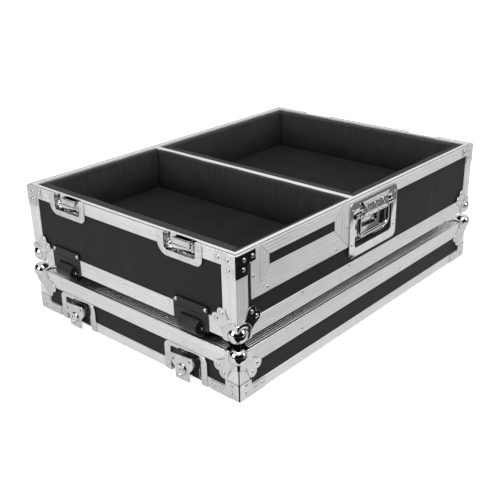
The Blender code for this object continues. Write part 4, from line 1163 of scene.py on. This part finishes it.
def folded(arm, low, high, bend):
    """A plate round the case's upright edge, from its outline on one side, (q, v) with q from the fold.

    Rings of the whole outline are carried by the fold's rule: straight on past the bend on either side,
    and round an arc of 45 degrees each way between. The flat faces are closed by caps up to the bend.
    """
    share = np.linspace(-1, 1, 9)[1:-1]
    top = np.column_stack([share * arm[0, 0], np.full(7, arm[0, 1])])
    bottom = np.column_stack([share * -arm[-1, 0], np.full(7, arm[-1, 1])])
    loop = joined(arm, bottom, flipped(arm), top)
    area = np.sum(loop[:, 0] * np.roll(loop[:, 1], -1) - np.roll(loop[:, 0], -1) * loop[:, 1])
    steps = rolled_edge(low, high, 0.00045)
    rings = [with_depth(inward(loop, np.sign(area) * step), depth) for step, depth in steps]
    made = Surface().grid(np.stack(rings), columns_close=True)
    arm_end, back_start, back_end = len(arm), len(arm) + 7, 2 * len(arm) + 7
    for ring in (rings[0], rings[-1]):
        right, under, left, over = np.split(ring, [arm_end, back_start, back_end])
        lower = np.concatenate([right[-1:], under, left[:1]])
        upper = np.concatenate([right[:1], over[::-1], left[-1:]])
        made.cap(right).cap(left).grid(np.stack([lower, upper]))

    def rule(points):
        """Carries (q, v, w) points round the fold."""
        q, v, w = points.T
        radius = bend + w
        angle = np.clip(q / bend, -1, 1) * math.pi / 4
        over = np.clip(np.abs(q) - bend, 0, None)
        round_x = bend - radius * np.sin(math.pi / 4 - angle)
        round_y = bend - radius * np.sin(math.pi / 4 + angle)
        return np.stack([round_x + np.where(q > 0, over, 0), round_y + np.where(q < 0, over, 0), v], axis=1)

    return made.bend(rule)


def corner_plate(arm, leg, leg_width, heads, up=1):
    """An L plate folded round a corner, with its rivets at (q, v).

    Its arm runs along the top and its leg down from it, or the other way up where up is -1.
    """
    low, high, bend, rounding, arm_height = GAP, GAP + hardware().sheet, 0.0026, 0.0028, 0.022
    inner = min(arm - leg_width, leg - arm_height) / 3
    outline = joined(
        (bend, 0),
        arc((arm - 0.0012, -0.0012), 0.0012, 90, 0, 3),
        arc((arm - rounding, -arm_height + rounding), rounding, 0, -90, 5),
        arc((leg_width + inner, -arm_height - inner), inner, 90, 180, 6),
        arc((leg_width - rounding, -leg + rounding), rounding, 0, -90, 5),
        (bend, -leg),
    )
    made = folded(outline * (1, up), low, high, bend)
    frames = []
    for q, v in heads:
        frames.append(placed((q, -high, v), (1, 0, 0), (0, 0, 1), (0, -1, 0)))
        frames.append(placed((-high, q, v), (0, -1, 0), (0, 0, 1), (-1, 0, 0)))
    return made.add(dome(hardware().rivet), frames)


def build_braces():
    """The folded braces at the top of the base's corners and the brackets at the lid's rim."""
    heads = [(0.0185, 0.0270), (0.0185, 0.0115), (0.0430, 0.0115), (0.0640, 0.0115)]
    bracket = corner_plate(0.072, 0.035, 0.033, heads, -1)
    brace = corner_plate(0.050, 0.044, 0.029, [(0.0195, -0.0125), (0.0175, -0.0300), (0.0415, -0.0115)])
    low, high = float(extent("lid_rim_bracket_1")[0][2]), float(extent("base_top_brace_1")[1][2])
    at_corners(
        ("rim_bracket", bracket, "lid", "lid_rim_bracket", low),
        ("top_brace", brace, "base", "base_top_brace", high),
    )


def open_ring(half, end, start, rounding, end_rounding, depth):
    """A U of points from (-half, start) round end to (half, start), with rounded corners."""
    turn = math.copysign(1, end - start)
    first = arc((rounding - half, end - turn * rounding), rounding, 180, 180 + turn * -90, 7)
    second = arc((half - end_rounding, end - turn * end_rounding), end_rounding, turn * 90, 0, 7)
    return with_depth(joined((-half, start), first, second, (half, start)), depth)


def pressed(top, under, slots, is_open):
    """A pressed sheet: its face from the outer edge into its pan, and its underside.

    Its rings are closed, or U-shaped where the pan is open at one side, closed there by its section.
    """
    made = Surface()
    made.grid(np.stack(top), columns_close=not is_open, slot=slots).cap(top[-1], slots[-1])
    made.grid(np.stack([top[0], *under]), columns_close=not is_open).cap(under[-1])
    if is_open:
        inside = [line[0] for line in top] + [line[-1] for line in top[::-1]]
        outside = [line[-1] for line in under] + [line[0] for line in under[::-1]]
        made.cap(np.array(inside + outside))
    return made


def flange_steps(low, high):
    """From a flange's outer edge to its lip: (share of the way in, inset, depth) of each ring."""
    roll = min(0.0005, (high - low) * 0.45)
    edge = [(0, 0.0, low), (0, 0.0, high - roll), (0, 0.3 * roll, high - 0.3 * roll), (0, roll, high)]
    face = [(0, 3 * roll, high), (0.5, 0.0, high), (1, -2.4 * roll, high), (1, -roll, high - 0.2 * roll)]
    return edge + face + [(1, 0.0, high - roll)]


def recess(flange, pan, start, roundings, pan_roundings, back_slot):
    """A latch half's pan in its flange, open at the rim: the flange and the pan are (half, end) of a U."""
    h = hardware()
    low, high, back = GAP, GAP + h.sheet, -h.pan
    turn = math.copysign(1, flange[1] - start)
    (half, end), (pan_half, pan_end) = flange, pan
    top = []
    for share, inset, depth in flange_steps(low, high):
        narrow, deep = half + (pan_half - half) * share - inset, end + (pan_end - end) * share - turn * inset
        first, second = (wide + (small - wide) * share for wide, small in roundings)
        top.append(open_ring(narrow, deep, start, first, second, depth))
    count = len(top)
    face, (inner, outer) = back + h.sheet, pan_roundings
    for inset, depth in ((0.0, face + 0.0014), (0.0004, face + 0.0004), (0.0014, face)):
        top.append(open_ring(pan_half - inset, pan_end - turn * inset, start, inner, inner, depth))
    out, foot = pan_half + h.sheet, pan_end + turn * h.sheet
    under = [open_ring(out, foot, start, outer, outer, depth) for depth in (low, back + 0.001)]
    under.append(open_ring(out - 0.001, pan_end + turn * 0.0002, start, inner, inner, back))
    return pressed(top, under, [0] * count + [back_slot] * 2, True)


def eyelet(radius):
    """A drilled hole with a bright rolled rim round a sunk middle in painted shade."""
    rim = [(radius * 1.5, -0.0006), (radius * 1.5, 0.0001), (radius * 1.3, 0.0003), (radius, 0.0001)]
    made = turned([*rim, (radius * 0.98, -0.0004)], 18)
    return made.add(turned([(radius, -0.0005), (radius, 0.00012), (radius * 0.5, 0.00012)], 18, 1))


def catch_surface():
    """The keeper half of a latch: a pan open at the rim, with a bridge plate, a stop knob and a roller."""
    high, back = GAP + hardware().sheet, -hardware().pan
    corners = (0.024, 0.005), (0.016, 0.005)
    made = recess((0.057, -0.045), (0.040, -0.032), -GAP, corners, (0.005, 0.006), 0)
    bridge = (0.0215, 0.0078, -0.0034, -0.0016, 0.0006, 0.001, -0.0122)
    lip = (0.0215, 0.0012, -0.0016, -0.0004, 0.0004, 0.001, -0.0188)
    add_blocks(made, bridge, lip)
    # A thin strip in painted shade stands for the slot along the bridge plate's top edge
    add_blocks(made, (0.0180, 0.0009, -0.0017, -0.0012, 0.0003, 0.003, -0.0052), slot=1)
    for u in (-0.0195, 0.0215):
        add_blocks(made, (0.0016, 0.0074, back + 0.0008, -0.0030, 0.0005, u, -0.0122))
    knob = joined([(0.0034, 0), (0.0034, 0.0048), (0.0050, 0.0054)], arc((0, 0.0056), 0.0050, 8, 80, 5))
    made.add(turned(knob, 20), at(-0.0275, -0.0195, back + 0.0010))
    pin = [(0.0020, -0.0075), (0.0024, -0.0070), (0.0024, 0.0070), (0.0020, 0.0075)]
    made.add(turned(pin, 16), at(0.0300, -0.0165, -0.0045, AROUND_V))
    made.add(coil(0.0031, 0.0006, 0.0068, 8), at(0.0300, -0.0165, -0.0045, COIL_ALONG_V))
    for along in (0.0, 0.0025, 0.0050):
        top = -0.0006 - along * 0.6
        add_blocks(made, (0.0006, 0.0125, back + 0.001, top, 0.0003, along - 0.0385, -0.0140))
    add_heads(made, high, (0.0027, 0.0010, [(-0.0490, -0.0130), (0.0030, -0.0387), (0.0487, -0.0135)]))
    return made


def latch_surface():
    """The lid's half of a latch: a pan open at the rim between two feet, with its spring and guide."""
    high, back = GAP + hardware().sheet, -hardware().pan
    corners = (0.014, 0.006), (0.014, 0.006)
    # The pan's back is in the recess's painted shade
    made = recess((0.057, 0.067), (0.041, 0.058), 0.0028, corners, (0.006, 0.007), 1)
    for u, low, tall in ((0.0325, 0.0110, 0.020), (0.0377, 0.0190, 0.022), (-0.0345, 0.0150, 0.024)):
        place, half = (u, low + tall / 2, -0.0045), tall / 2
        made.add(coil(0.0021, 0.00055, half, 9), at(*place, COIL_ALONG_V))
        made.add(turned([(0.0013, -half - 0.001), (0.0013, half + 0.001)], 10), at(*place, AROUND_V))
    made.add(eyelet(0.0017), at(-0.0310, 0.0515, back + hardware().sheet))
    made.add(bar([(u, 0.0465, -0.0022) for u in (-0.0200, 0.0, 0.0220)], 0.0012, 10))
    add_blocks(
        made,
        (0.0180, 0.0021, back + 0.0008, -0.0012, 0.0007, 0.0030, 0.0535),
        (0.0125, 0.0016, back + 0.0008, -0.0030, 0.0006, -0.0010, 0.0095),
        *((0.0016, 0.0040, back + 0.0008, -0.0008, 0.0006, u, 0.0465) for u in (-0.0205, 0.0225)),
    )
    add_heads(
        made,
        high,
        (0.0028, 0.0011, [(0, 0.0626)]),
        (0.0024, 0.0010, [(-0.0470, 0.0530), (0.0470, 0.0530)]),
        (0.0030, 0.0012, [(-0.0490, 0.0137), (0.0490, 0.0137)]),
    )
    return made


def hook_surface():
    """The latch's front plate with its side returns and eyelets, and the carriage that slides in the pan."""
    low, high = 0.010, 0.012
    tab, half, shoulder = 0.0185, 0.029, 0.036
    outline = joined(
        arc((0.002 - tab, 0.0035), 0.002, 180, 270, 4),
        arc((tab - 0.002, 0.0035), 0.002, 270, 360, 4),
        (tab, shoulder - 0.014),
        arc((half - 0.003, shoulder - 0.0005), 0.003, -50, 0, 4),
        arc((half - 0.0045, 0.0515), 0.0045, 0, 90, 5),
        arc((0.0045 - half, 0.0480), 0.0045, 90, 180, 5),
        arc((0.003 - half, shoulder - 0.0005), 0.003, 180, 230, 4),
        (-tab, shoulder - 0.014),
    )
    made = plate(outline, low, high, 0.0006)
    # The block behind the plate is in the recess's painted shade
    add_blocks(made, (0.012, 0.008, -0.0080, low + 0.0005, 0.0008, 0, 0.040), slot=1)
    returns = [(0.0008, 0.0080, 0.0045, low + 0.001, 0.0005, side * 0.0278, 0.0430) for side in (-1, 1)]
    add_blocks(made, *returns, (0.0165, 0.0009, low - 0.003, low + 0.0005, 0.0005, 0, 0.0040))
    made.add(eyelet(0.0023), [at(0.0215, 0.0480, high), at(-0.0225, 0.0405, high)])
    collar = [(0.0128, 0), (0.0128, 0.0004), (0.0122, 0.0009), (0.0119, 0.0009), (0.0117, 0.0002)]
    return made.add(turned(collar, 40, hollow=True), at(0, 0.024, high - 0.0002))


def wing_surface():
    """The round wing: a disc with radial ribs that fade to its middle, a sunk ring and a grip.

    Its height is h + a (r / R) cos(n t) + grip, where the grip is a smooth ridge across the disc.
    """
    radius, ribs, grip_turn = 0.0114, 14, 0.6
    ratio = np.concatenate([np.linspace(0.06, 0.9, 12), [0.95, 0.99, 1.0, 1.0]])[:, None]
    angle = np.linspace(0, 2 * math.pi, 84, endpoint=False)[None]
    side = ratio * radius * np.sin(angle - grip_turn)
    along = ratio * radius * np.cos(angle - grip_turn)
    ridge = (1 - ease(np.abs(side), 0.0011, 0.0024)) * (1 - ease(np.abs(along), 0.0085, 0.0105))
    sunk = ease(ratio, 0.28, 0.42) * (1 - ease(ratio, 0.82, 0.95))
    height = 0.0030 - 0.0011 * sunk + 0.00035 * sunk * np.cos(ribs * angle) + 0.0022 * ridge
    height[-3:] = np.array([0.0028, 0.0022, GAP])[:, None]
    points = np.stack([ratio * radius * np.cos(angle), ratio * radius * np.sin(angle), height], axis=-1)
    return Surface().grid(points, columns_close=True).cap(points[0]).cap(points[-1])


def build_latches():
    """Four latches on the lid and their catches on the base."""
    offset = middle_of("catch_2", 1)
    catch, dish, hook, wing = catch_surface(), latch_surface(), hook_surface(), wing_surface()
    sides = [(side, sign) for side in ("wheel_end", "pull_end") for sign in (-1, 1)]
    steel = "zinc_plated_steel"
    for number, (side, sign) in enumerate(sides, 1):
        rim, lid = on_side(side, sign * offset, RIM_TOP), on_side(side, sign * offset, 0)
        hub = lid @ at(0, 0.024, 0.012)
        piece(f"keeper_{number}", catch, steel, "base", f"catch_{number}", rim)
        piece(f"lid_latch_{number}", dish, steel, "lid", f"latch_dish_{number}", lid)
        piece(f"hook_plate_{number}", hook, steel, f"hook_{number}", f"latch_hook_{number}", lid)
        piece(f"twist_wing_{number}", wing, "chromed_steel", f"wing_{number}", f"latch_wing_{number}", hub)


HINGE_UP, HINGE_OUT = 0.0275, 0.0008


def handle_surface():
    """A handle's dish, its lugs, its springs and the hinge cover that arches over the barrel."""
    half, tall, centre, pan, pan_tall = 0.087, 0.060, 0.0010, 0.067, 0.0385
    base, high, back, arch = GAP, GAP + 0.0015, -0.016, 0.0066
    sheet = hardware().sheet

    def ring(half_u, half_v, rounding, depth, centre_v=0.0):
        """One closed ring of the dish, at a depth."""
        return with_depth(rectangle(half_u, half_v, rounding, (0, centre_v)), depth)

    top = []
    for share, inset, depth in flange_steps(base, high):
        wide, deep = half + (pan - half) * share - inset, tall + (pan_tall - tall) * share - inset
        top.append(ring(wide, deep, 0.013 - 0.007 * share, depth, centre * (1 - share)))
    # The pan's wall is in the recess's painted shade; the pan's back is zinc
    slots = [0] * (len(top) - 1) + [1, 2, 2]
    face = back + sheet
    for inset, depth in ((0.0002, face + 0.003), (0.0012, face + 0.0008), (0.0034, face)):
        top.append(ring(pan - inset, pan_tall - inset, 0.006, depth))
    wide, deep = pan + sheet, pan_tall + sheet
    under = [ring(wide, deep, 0.007, depth) for depth in (base, back + 0.0012)]
    under.append(ring(wide - 0.0012, deep - 0.0012, 0.006, back))
    made = pressed(top, under, slots, False)

    lug = joined([(0.0052, 0), (0.0062, 0.0006), (0.0062, 0.0078), (0.0050, 0.0084)])
    rise = [(0.0535, high), (0.0530, 0.0040), (0.0517, 0.0060), (0.0495, arch)]
    over = [(0.0400, arch), (0.0300, arch), (0.0230, arch), (0.0195, 0.0057), (0.0172, 0.0030)]
    below = [(0.0164, -0.0020), (0.0174, -0.0021), (0.0183, 0.0025), (0.0203, 0.0047), (0.0234, 0.0055)]
    back_up = [(0.0300, 0.0055), (0.0490, 0.0055), (0.0508, 0.0049), (0.0524, high)]
    section = joined(rise, over, below, back_up)
    ends = [(u, 0, 0) for u in (-0.0450, -0.0445, 0.0445, 0.0450)]
    made.add(sweep(ends, (0, 1, 0), (0, 0, 1), section, slot=2))
    spring = coil(0.0056, 0.0008, 0.0043, 5)
    for side in (-1, 1):
        made.add(turned(lug * (1, side)), at(side * 0.0593, HINGE_UP, HINGE_OUT, AROUND_U))
        made.add(spring, at(side * 0.0420, HINGE_UP, HINGE_OUT))
        made.add(bar([(side * 0.0405, HINGE_UP + 0.005, 0.001), (side * 0.0405, 0.0500, 0.0028)], 0.0008, 8))
    made.add(eyelet(0.0036), [at(u, 0.0430, arch) for u in (-0.0220, 0.0085, 0.0380)])
    add_heads(
        made,
        arch,
        (0.0023, 0.0013, [(sign * u, 0.0237) for sign in (-1, 1) for u in (0.0110, 0.0250, 0.0390)]),
        (0.0036, 0.0017, [(u, 0.0440) for u in (-0.0370, -0.0070, 0.0230)]),
        (0.0024, 0.0010, [(u, 0.0345) for u in (-0.0300, 0.0000, 0.0300)]),
    )
    add_heads(
        made,
        high,
        (0.0030, 0.0013, [(side * 0.0770, v) for side in (-1, 1) for v in (-0.0300, 0.0440)]),
        (0.0028, 0.0012, [(side * 0.0520, 0.0510) for side in (-1, 1)]),
    )
    return made


def bail_surface():
    """The bail: two arms and a grip as one bent bar, with eyes round a slender barrel."""
    half, drop, bend = 0.052, 0.046, 0.010
    arm = [(-half, v) for v in np.linspace(0, bend - drop, 8)[:-1]]
    side = joined(arm, arc((bend - half, bend - drop), bend, 180, 270, 10))
    made = bar(with_depth(joined(side, flipped(side)), 0.0), hardware().bail, 20)
    made.add(turned([(0.0036, -0.0588), (0.0042, -0.0582), (0.0042, 0.0582), (0.0036, 0.0588)], 20), AROUND_U)
    eye = turned([(0.0056, -0.0046), (0.0063, -0.0040), (0.0063, 0.0040), (0.0056, 0.0046)])
    return made.add(eye, [at(side * half, 0, 0, AROUND_U) for side in (-1, 1)])


def build_handles():
    """The sprung handle on the front side and the pull handle on the end away from the wheels."""
    dish, bail = handle_surface(), bail_surface()
    for name, side, axis in (("front", "front", 0), ("pull", "pull_end", 1)):
        node = f"{name}_handle_dish"
        place = on_side(side, middle_of(node, axis), float(extent(node)[0][2]) + 0.0590)
        hinge = place @ at(0, HINGE_UP, HINGE_OUT)
        piece(f"{name}_handle_plate", dish, "chromed_steel", "base", node, place)
        piece(f"{name}_handle_grip", bail, "chromed_steel", f"{name}_bail", f"{name}_handle_bail", hinge)


WHEEL_AXIS = (0.001, -0.001)


def housing_surface():
    """A wheel's housing: two plates notched for the wheel, a trough behind it, cheeks, ears and rivets."""
    half, tall, cheek, thick, notch, rounding = 0.045, 0.049, 0.0245, 0.0025, 0.0196, 0.004
    low, high = GAP, 0.0018
    made = Surface()
    flat = placed((0, 0, 0), (1, 0, 0), (0, 0, -1), (0, -1, 0))
    for bottom, depth, turn in ((-high, notch, np.eye(4)), (0, notch + 0.001, flat)):
        right = joined(
            [(cheek, depth), (cheek, bottom), (half, bottom)],
            arc((half - rounding, tall - rounding), rounding, 0, 90, 5),
        )
        made.add(plate(joined(right, flipped(right)), low, high, 0.0005), turn)
    outer, inner = arc(WHEEL_AXIS, 0.0198, 3, -183, 26), arc(WHEEL_AXIS, 0.0184, -183, 3, 26)
    # The trough behind the wheel is in the recess's painted shade
    made.add(sweep([(-cheek, 0, 0), (cheek, 0, 0)], (0, 1, 0), (0, 0, 1), joined(outer, inner), slot=1))
    side = joined(outer, [(-0.0006, 0.0006), (0.0200, 0.0006)])
    for start in (-cheek - thick, cheek):
        made.add(sweep([(start, 0, 0), (start + thick, 0, 0)], (0, 1, 0), (0, 0, 1), side))
    ear_side = [(0.0085, 0), (0.0085, thick - 0.0007), (0.0078, thick)]
    ear = joined(ear_side, [(0.0056, thick), (0.0052, thick - 0.0005)])
    pin = joined([(0.0040, 0), (0.0040, thick + 0.0001)], arc((0, thick - 0.0004), 0.0040, 10, 75, 5))
    for sign in (-1, 1):
        made.add(turned(ear * (1, sign), 28), at(sign * cheek, *WHEEL_AXIS, AROUND_U))
        made.add(turned(pin * (1, sign), 18, 2), at(sign * cheek, *WHEEL_AXIS, AROUND_U))
    add_blocks(made, (0.0345, 0.0011, high - 0.0003, high + 0.0006, 0.0005, 0, 0.0300))
    add_heads(made, high, (0.0042, 0.0019, [(sign * 0.0380, 0.0420) for sign in (-1, 1)]), slot=2)
    return made.add(turned([(0.0028, -cheek), (0.0028, cheek)], 14, 2), at(0, *WHEEL_AXIS, AROUND_U))


def roller_surface():
    """A moulded roller: a slightly crowned tread with rounded shoulders, sunk ends and a bore."""
    half, radius, shoulder = 0.024, 0.0165, 0.0026
    along = np.linspace(-1, 1, 15)
    rings = 0.00025 * (np.arange(15) % 4 == 0)
    crown = np.stack([radius - 0.0005 * along**2 - rings, along * (half - 0.003)], axis=1)
    end = joined(
        arc((radius - 0.0005 - shoulder, half - shoulder), shoulder, 0, 90, 4),
        [(0.0116, half), (0.0108, half - 0.0018), (0.0072, half - 0.0022), (0.0064, half - 0.0004)],
        (0.0034, half - 0.0004),
    )
    return turned(joined(crown, end, flipped(end, 1)), 48, hollow=True)


def build_wheels():
    """Two rollers in their housings at the bottom edge of one end."""
    housing, roller = housing_surface(), roller_surface()
    for name in ("near", "far"):
        node = f"{name}_wheel_housing"
        place = on_side("wheel_end", middle_of(node, 1), BASE_BOTTOM)
        hub = place @ at(0, *WHEEL_AXIS, AROUND_U)
        piece(f"{name}_housing", housing, "black_steel", "base", node, place)
        piece(f"{name}_tread", roller, "black_rubber", f"{name}_roller", f"{name}_wheel_roller", hub)


def build_feet():
    """Four turned rubber feet between the base and the lid's closed face."""
    for number in range(1, 5):
        node = f"rubber_foot_{number}"
        low, high = extent(node)
        width, _, rise = (high - low).tolist()
        top, tip, rounding = width / 2, 0.017, 0.0018
        groove = [(tip + 0.0007, 0.30 * rise), (tip - 0.0004, 0.36 * rise), (tip + 0.0010, 0.42 * rise)]
        flare = [(top - 0.0006, 0.9 * rise), (top, 0.94 * rise), (top, rise)]
        sole = joined((tip - 0.0025, 0), arc((tip - rounding, rounding), rounding, 270, 360, 4))
        place = at(middle_of(node, 0), middle_of(node, 1), float(low[2]))
        piece(f"foot_{number}", turned(joined(sole, groove, flare), 40), "black_rubber", "base", node, place)


def lamp(name, place, size, energy):
    """A soft rectangular light at a place, pointing at the middle of the case."""
    light = bpy.data.lights.new(name, "AREA")
    light.shape = "RECTANGLE"
    light.size, light.size_y = size
    light.energy = energy
    back = np.array(place) - (0, 0, 0.15)
    add_view(name, light, place, back / np.linalg.norm(back))


def add_view(name, data, place, back, roll=0.0):
    """Adds a light or a camera whose axis comes back along a direction, rolled about it."""
    right = np.cross((0, 0, 1), back)
    right /= np.linalg.norm(right)
    up = np.cross(back, right)
    level, tilted = math.cos(roll), math.sin(roll)
    made = bpy.data.objects.new(name, data)
    made.matrix_world = Matrix(placed(place, level * right + tilted * up, level * up - tilted * right, back))
    bpy.context.scene.collection.objects.link(made)
    return made


def flat_card(low, high):
    """A flat rectangle between its lowest and its highest corner."""
    low, high = np.array(low, float), np.array(high, float)
    side = np.arange(3) == np.flatnonzero(high > low)[0]
    return Surface().cap(np.array([low, np.where(side, high, low), high, np.where(side, low, high)]))


def staged(name, surface, material):
    """Makes a part of the stage."""
    made = bpy.data.objects.new(name, surface.mesh(name, 30))
    bpy.context.scene.collection.objects.link(made)
    made.data.materials.append(material)
    return made


def build_stage():
    """A white floor that keeps the shadow, an even surrounding, soft lights and the camera."""
    scene = bpy.context.scene
    s = scene.case_stage
    scene.view_settings.view_transform = "Standard"
    scene.world = bpy.data.worlds.new("studio")
    world = Tree(scene.world)
    white = (1, 1, 1)
    rays = ("Is Camera Ray", "Is Glossy Ray", "Is Transmission Ray")
    seen, glossy, clear = (world.node("ShaderNodeLightPath", output=ray) for ray in rays)
    seen = seen.larger(glossy).larger(clear)
    strength = world.node("ShaderNodeMix", None, {0: seen, 2: s.ambient, 3: 1.0})
    background = world.nodes["Background"].inputs
    world.feed(background["Color"], white)
    world.feed(background["Strength"], strength)

    shade = Shade("white_floor", Roughness=0.75, Specular_IOR_Level=0.1, Emission_Color=white)
    plain, patchy = (s.floor,) * 3, (s.floor * 0.99, s.floor * 0.99, s.floor)
    shade.set(
        Base_Color=shade.blend(shade.noise(2.0, 2.0, 0.5), plain, patchy),
        Emission_Strength=shade.node("ShaderNodeLightPath", output="Is Camera Ray") * 0.8,
    )
    staged("floor", flat_card((-6, -6, 0), (6, 6, 0)), shade.material)

    dark, grey = (
        Shade(name, Roughness=0.9, Specular_IOR_Level=0.0, Base_Color=(tone, tone, tone)).material
        for name, tone in (("dark_card", 0.012), ("grey_card", 0.2))
    )
    turn, radius, foot, head = np.radians(np.linspace(-160, 62, 38)), 4.2, 0.02, 3.6
    wall = np.stack([radius * np.sin(turn), -radius * np.cos(turn), 0 * turn], axis=1)
    cards = [
        ("low_card", flat_card((-0.30, -1.05, 0.004), (0.24, -0.447, 0.004)), dark),
        ("corner_card", flat_card((-3.2, -2.9, 0.003), (-0.44, -0.33, 0.003)), dark),
        ("edge_card", flat_card((-0.44, -2.9, 0.003), (-0.30, -0.43, 0.003)), dark),
        ("grey_low_card", flat_card((0.30, -1.10, 0.004), (0.95, -0.64, 0.004)), grey),
        ("far_card", flat_card((-2.6, 3.0, 0.15), (2.6, 3.0, 0.75)), dark),
        ("right_card", flat_card((3.0, -2.6, 0.0), (3.0, 2.6, 0.55)), dark),
        ("round_card", Surface().grid(np.stack([wall + (0, 0, foot), wall + (0, 0, head)])), dark),
    ]
    for name, surface, material in cards:
        card = staged(name, surface, material)
        card.visible_camera = card.visible_diffuse = card.visible_shadow = card.visible_transmission = False

    lamp("key_light", (-0.6, -0.9, 2.3), (1.6, 1.2), s.key * 4)
    lamp("side_light", (-2.2, 0.5, 1.0), (1.2, 1.2), s.side * 3.3)
    lamp("fill_light", (1.4, -2.2, 1.2), (1.4, 1.2), s.side * 2.8)

    azimuth, elevation, roll = np.radians((-48.3869, 23.7897, -1.1409))
    level = np.cos(elevation)
    back = np.array((np.sin(azimuth) * level, -np.cos(azimuth) * level, np.sin(elevation)))
    camera = bpy.data.cameras.new("camera")
    camera.lens, camera.sensor_width = 57.857, 36.0
    camera.clip_start, camera.clip_end = 0.01, 100
    scene.camera = add_view("camera", camera, (-1.3261, -1.1329, 0.8467), back, roll)


class CASE_OT_lid_metal(Operator):
    """Builds the lid's extrusions"""

    bl_idname = "flight_case.lid_metal"
    bl_label = "Lid extrusions"

    def execute(self, context):
        build_lid_metal()
        return {"FINISHED"}


class CASE_OT_base_metal(Operator):
    """Builds the base's extrusions"""

    bl_idname = "flight_case.base_metal"
    bl_label = "Base extrusions"

    def execute(self, context):
        build_base_metal()
        return {"FINISHED"}


class CASE_OT_access_metal(Operator):
    """Builds the access opening's trim, the panel's trim and the divider's cap"""

    bl_idname = "flight_case.access_metal"
    bl_label = "Access trims and divider cap"

    def execute(self, context):
        build_access_metal()
        return {"FINISHED"}


class CASE_OT_boards(Operator):
    """Gives the boards their laminate"""

    bl_idname = "flight_case.boards"
    bl_label = "Boards"

    def execute(self, context):
        build_boards()
        return {"FINISHED"}


class CASE_OT_foam(Operator):
    """Builds the foam linings"""

    bl_idname = "flight_case.foam"
    bl_label = "Foam"

    def execute(self, context):
        build_foam()
        return {"FINISHED"}


class CASE_OT_corners(Operator):
    """Builds the ball corners, braces and brackets"""

    bl_idname = "flight_case.corners"
    bl_label = "Corners"

    def execute(self, context):
        build_ball_corners()
        build_braces()
        return {"FINISHED"}


class CASE_OT_latches(Operator):
    """Builds the latches and their catches"""

    bl_idname = "flight_case.latches"
    bl_label = "Latches"

    def execute(self, context):
        build_latches()
        return {"FINISHED"}


class CASE_OT_handles(Operator):
    """Builds the sprung handles"""

    bl_idname = "flight_case.handles"
    bl_label = "Handles"

    def execute(self, context):
        build_handles()
        return {"FINISHED"}


class CASE_OT_wheels(Operator):
    """Builds the wheels, their housings and the feet"""

    bl_idname = "flight_case.wheels"
    bl_label = "Wheels and feet"

    def execute(self, context):
        build_wheels()
        build_feet()
        return {"FINISHED"}


class CASE_OT_stage(Operator):
    """Sets up the floor, the lights, the surroundings and the camera"""

    bl_idname = "flight_case.stage"
    bl_label = "Stage"

    def execute(self, context):
        build_stage()
        return {"FINISHED"}


class CASE_PT_panel(Panel):
    """Lists the steps that build the case"""

    bl_idname = "CASE_PT_panel"
    bl_label = "Flight case"
    bl_space_type = "VIEW_3D"
    bl_region_type = "UI"
    bl_category = "Flight case"

    def draw(self, context):
        for step in STEPS:
            self.layout.operator(step.bl_idname)


STEPS = [
    CASE_OT_boards,
    CASE_OT_lid_metal,
    CASE_OT_base_metal,
    CASE_OT_access_metal,
    CASE_OT_foam,
    CASE_OT_corners,
    CASE_OT_latches,
    CASE_OT_handles,
    CASE_OT_wheels,
    CASE_OT_stage,
]
CLASSES = [CaseSizes, HardwareSizes, Finishes, StageSettings, *STEPS, CASE_PT_panel]
GROUPS = {
    "case_sizes": CaseSizes,
    "case_hardware": HardwareSizes,
    "case_finishes": Finishes,
    "case_stage": StageSettings,
}


def register():
    """Registers the classes, and hangs the groups of settings on the scene."""
    for item in CLASSES:
        bpy.utils.register_class(item)
    for name, group in GROUPS.items():
        setattr(bpy.types.Scene, name, PointerProperty(type=group))


def unregister():
    """Takes off what register has put on."""
    for name in GROUPS:
        delattr(bpy.types.Scene, name)
    for item in reversed(CLASSES):
        bpy.utils.unregister_class(item)


def main():
    """Registers the add-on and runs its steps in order."""
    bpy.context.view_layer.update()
    register()
    for step in STEPS:
        group, name = step.bl_idname.split(".")
        getattr(getattr(bpy.ops, group), name)()
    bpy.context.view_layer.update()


if __name__ == "__main__":
    main()
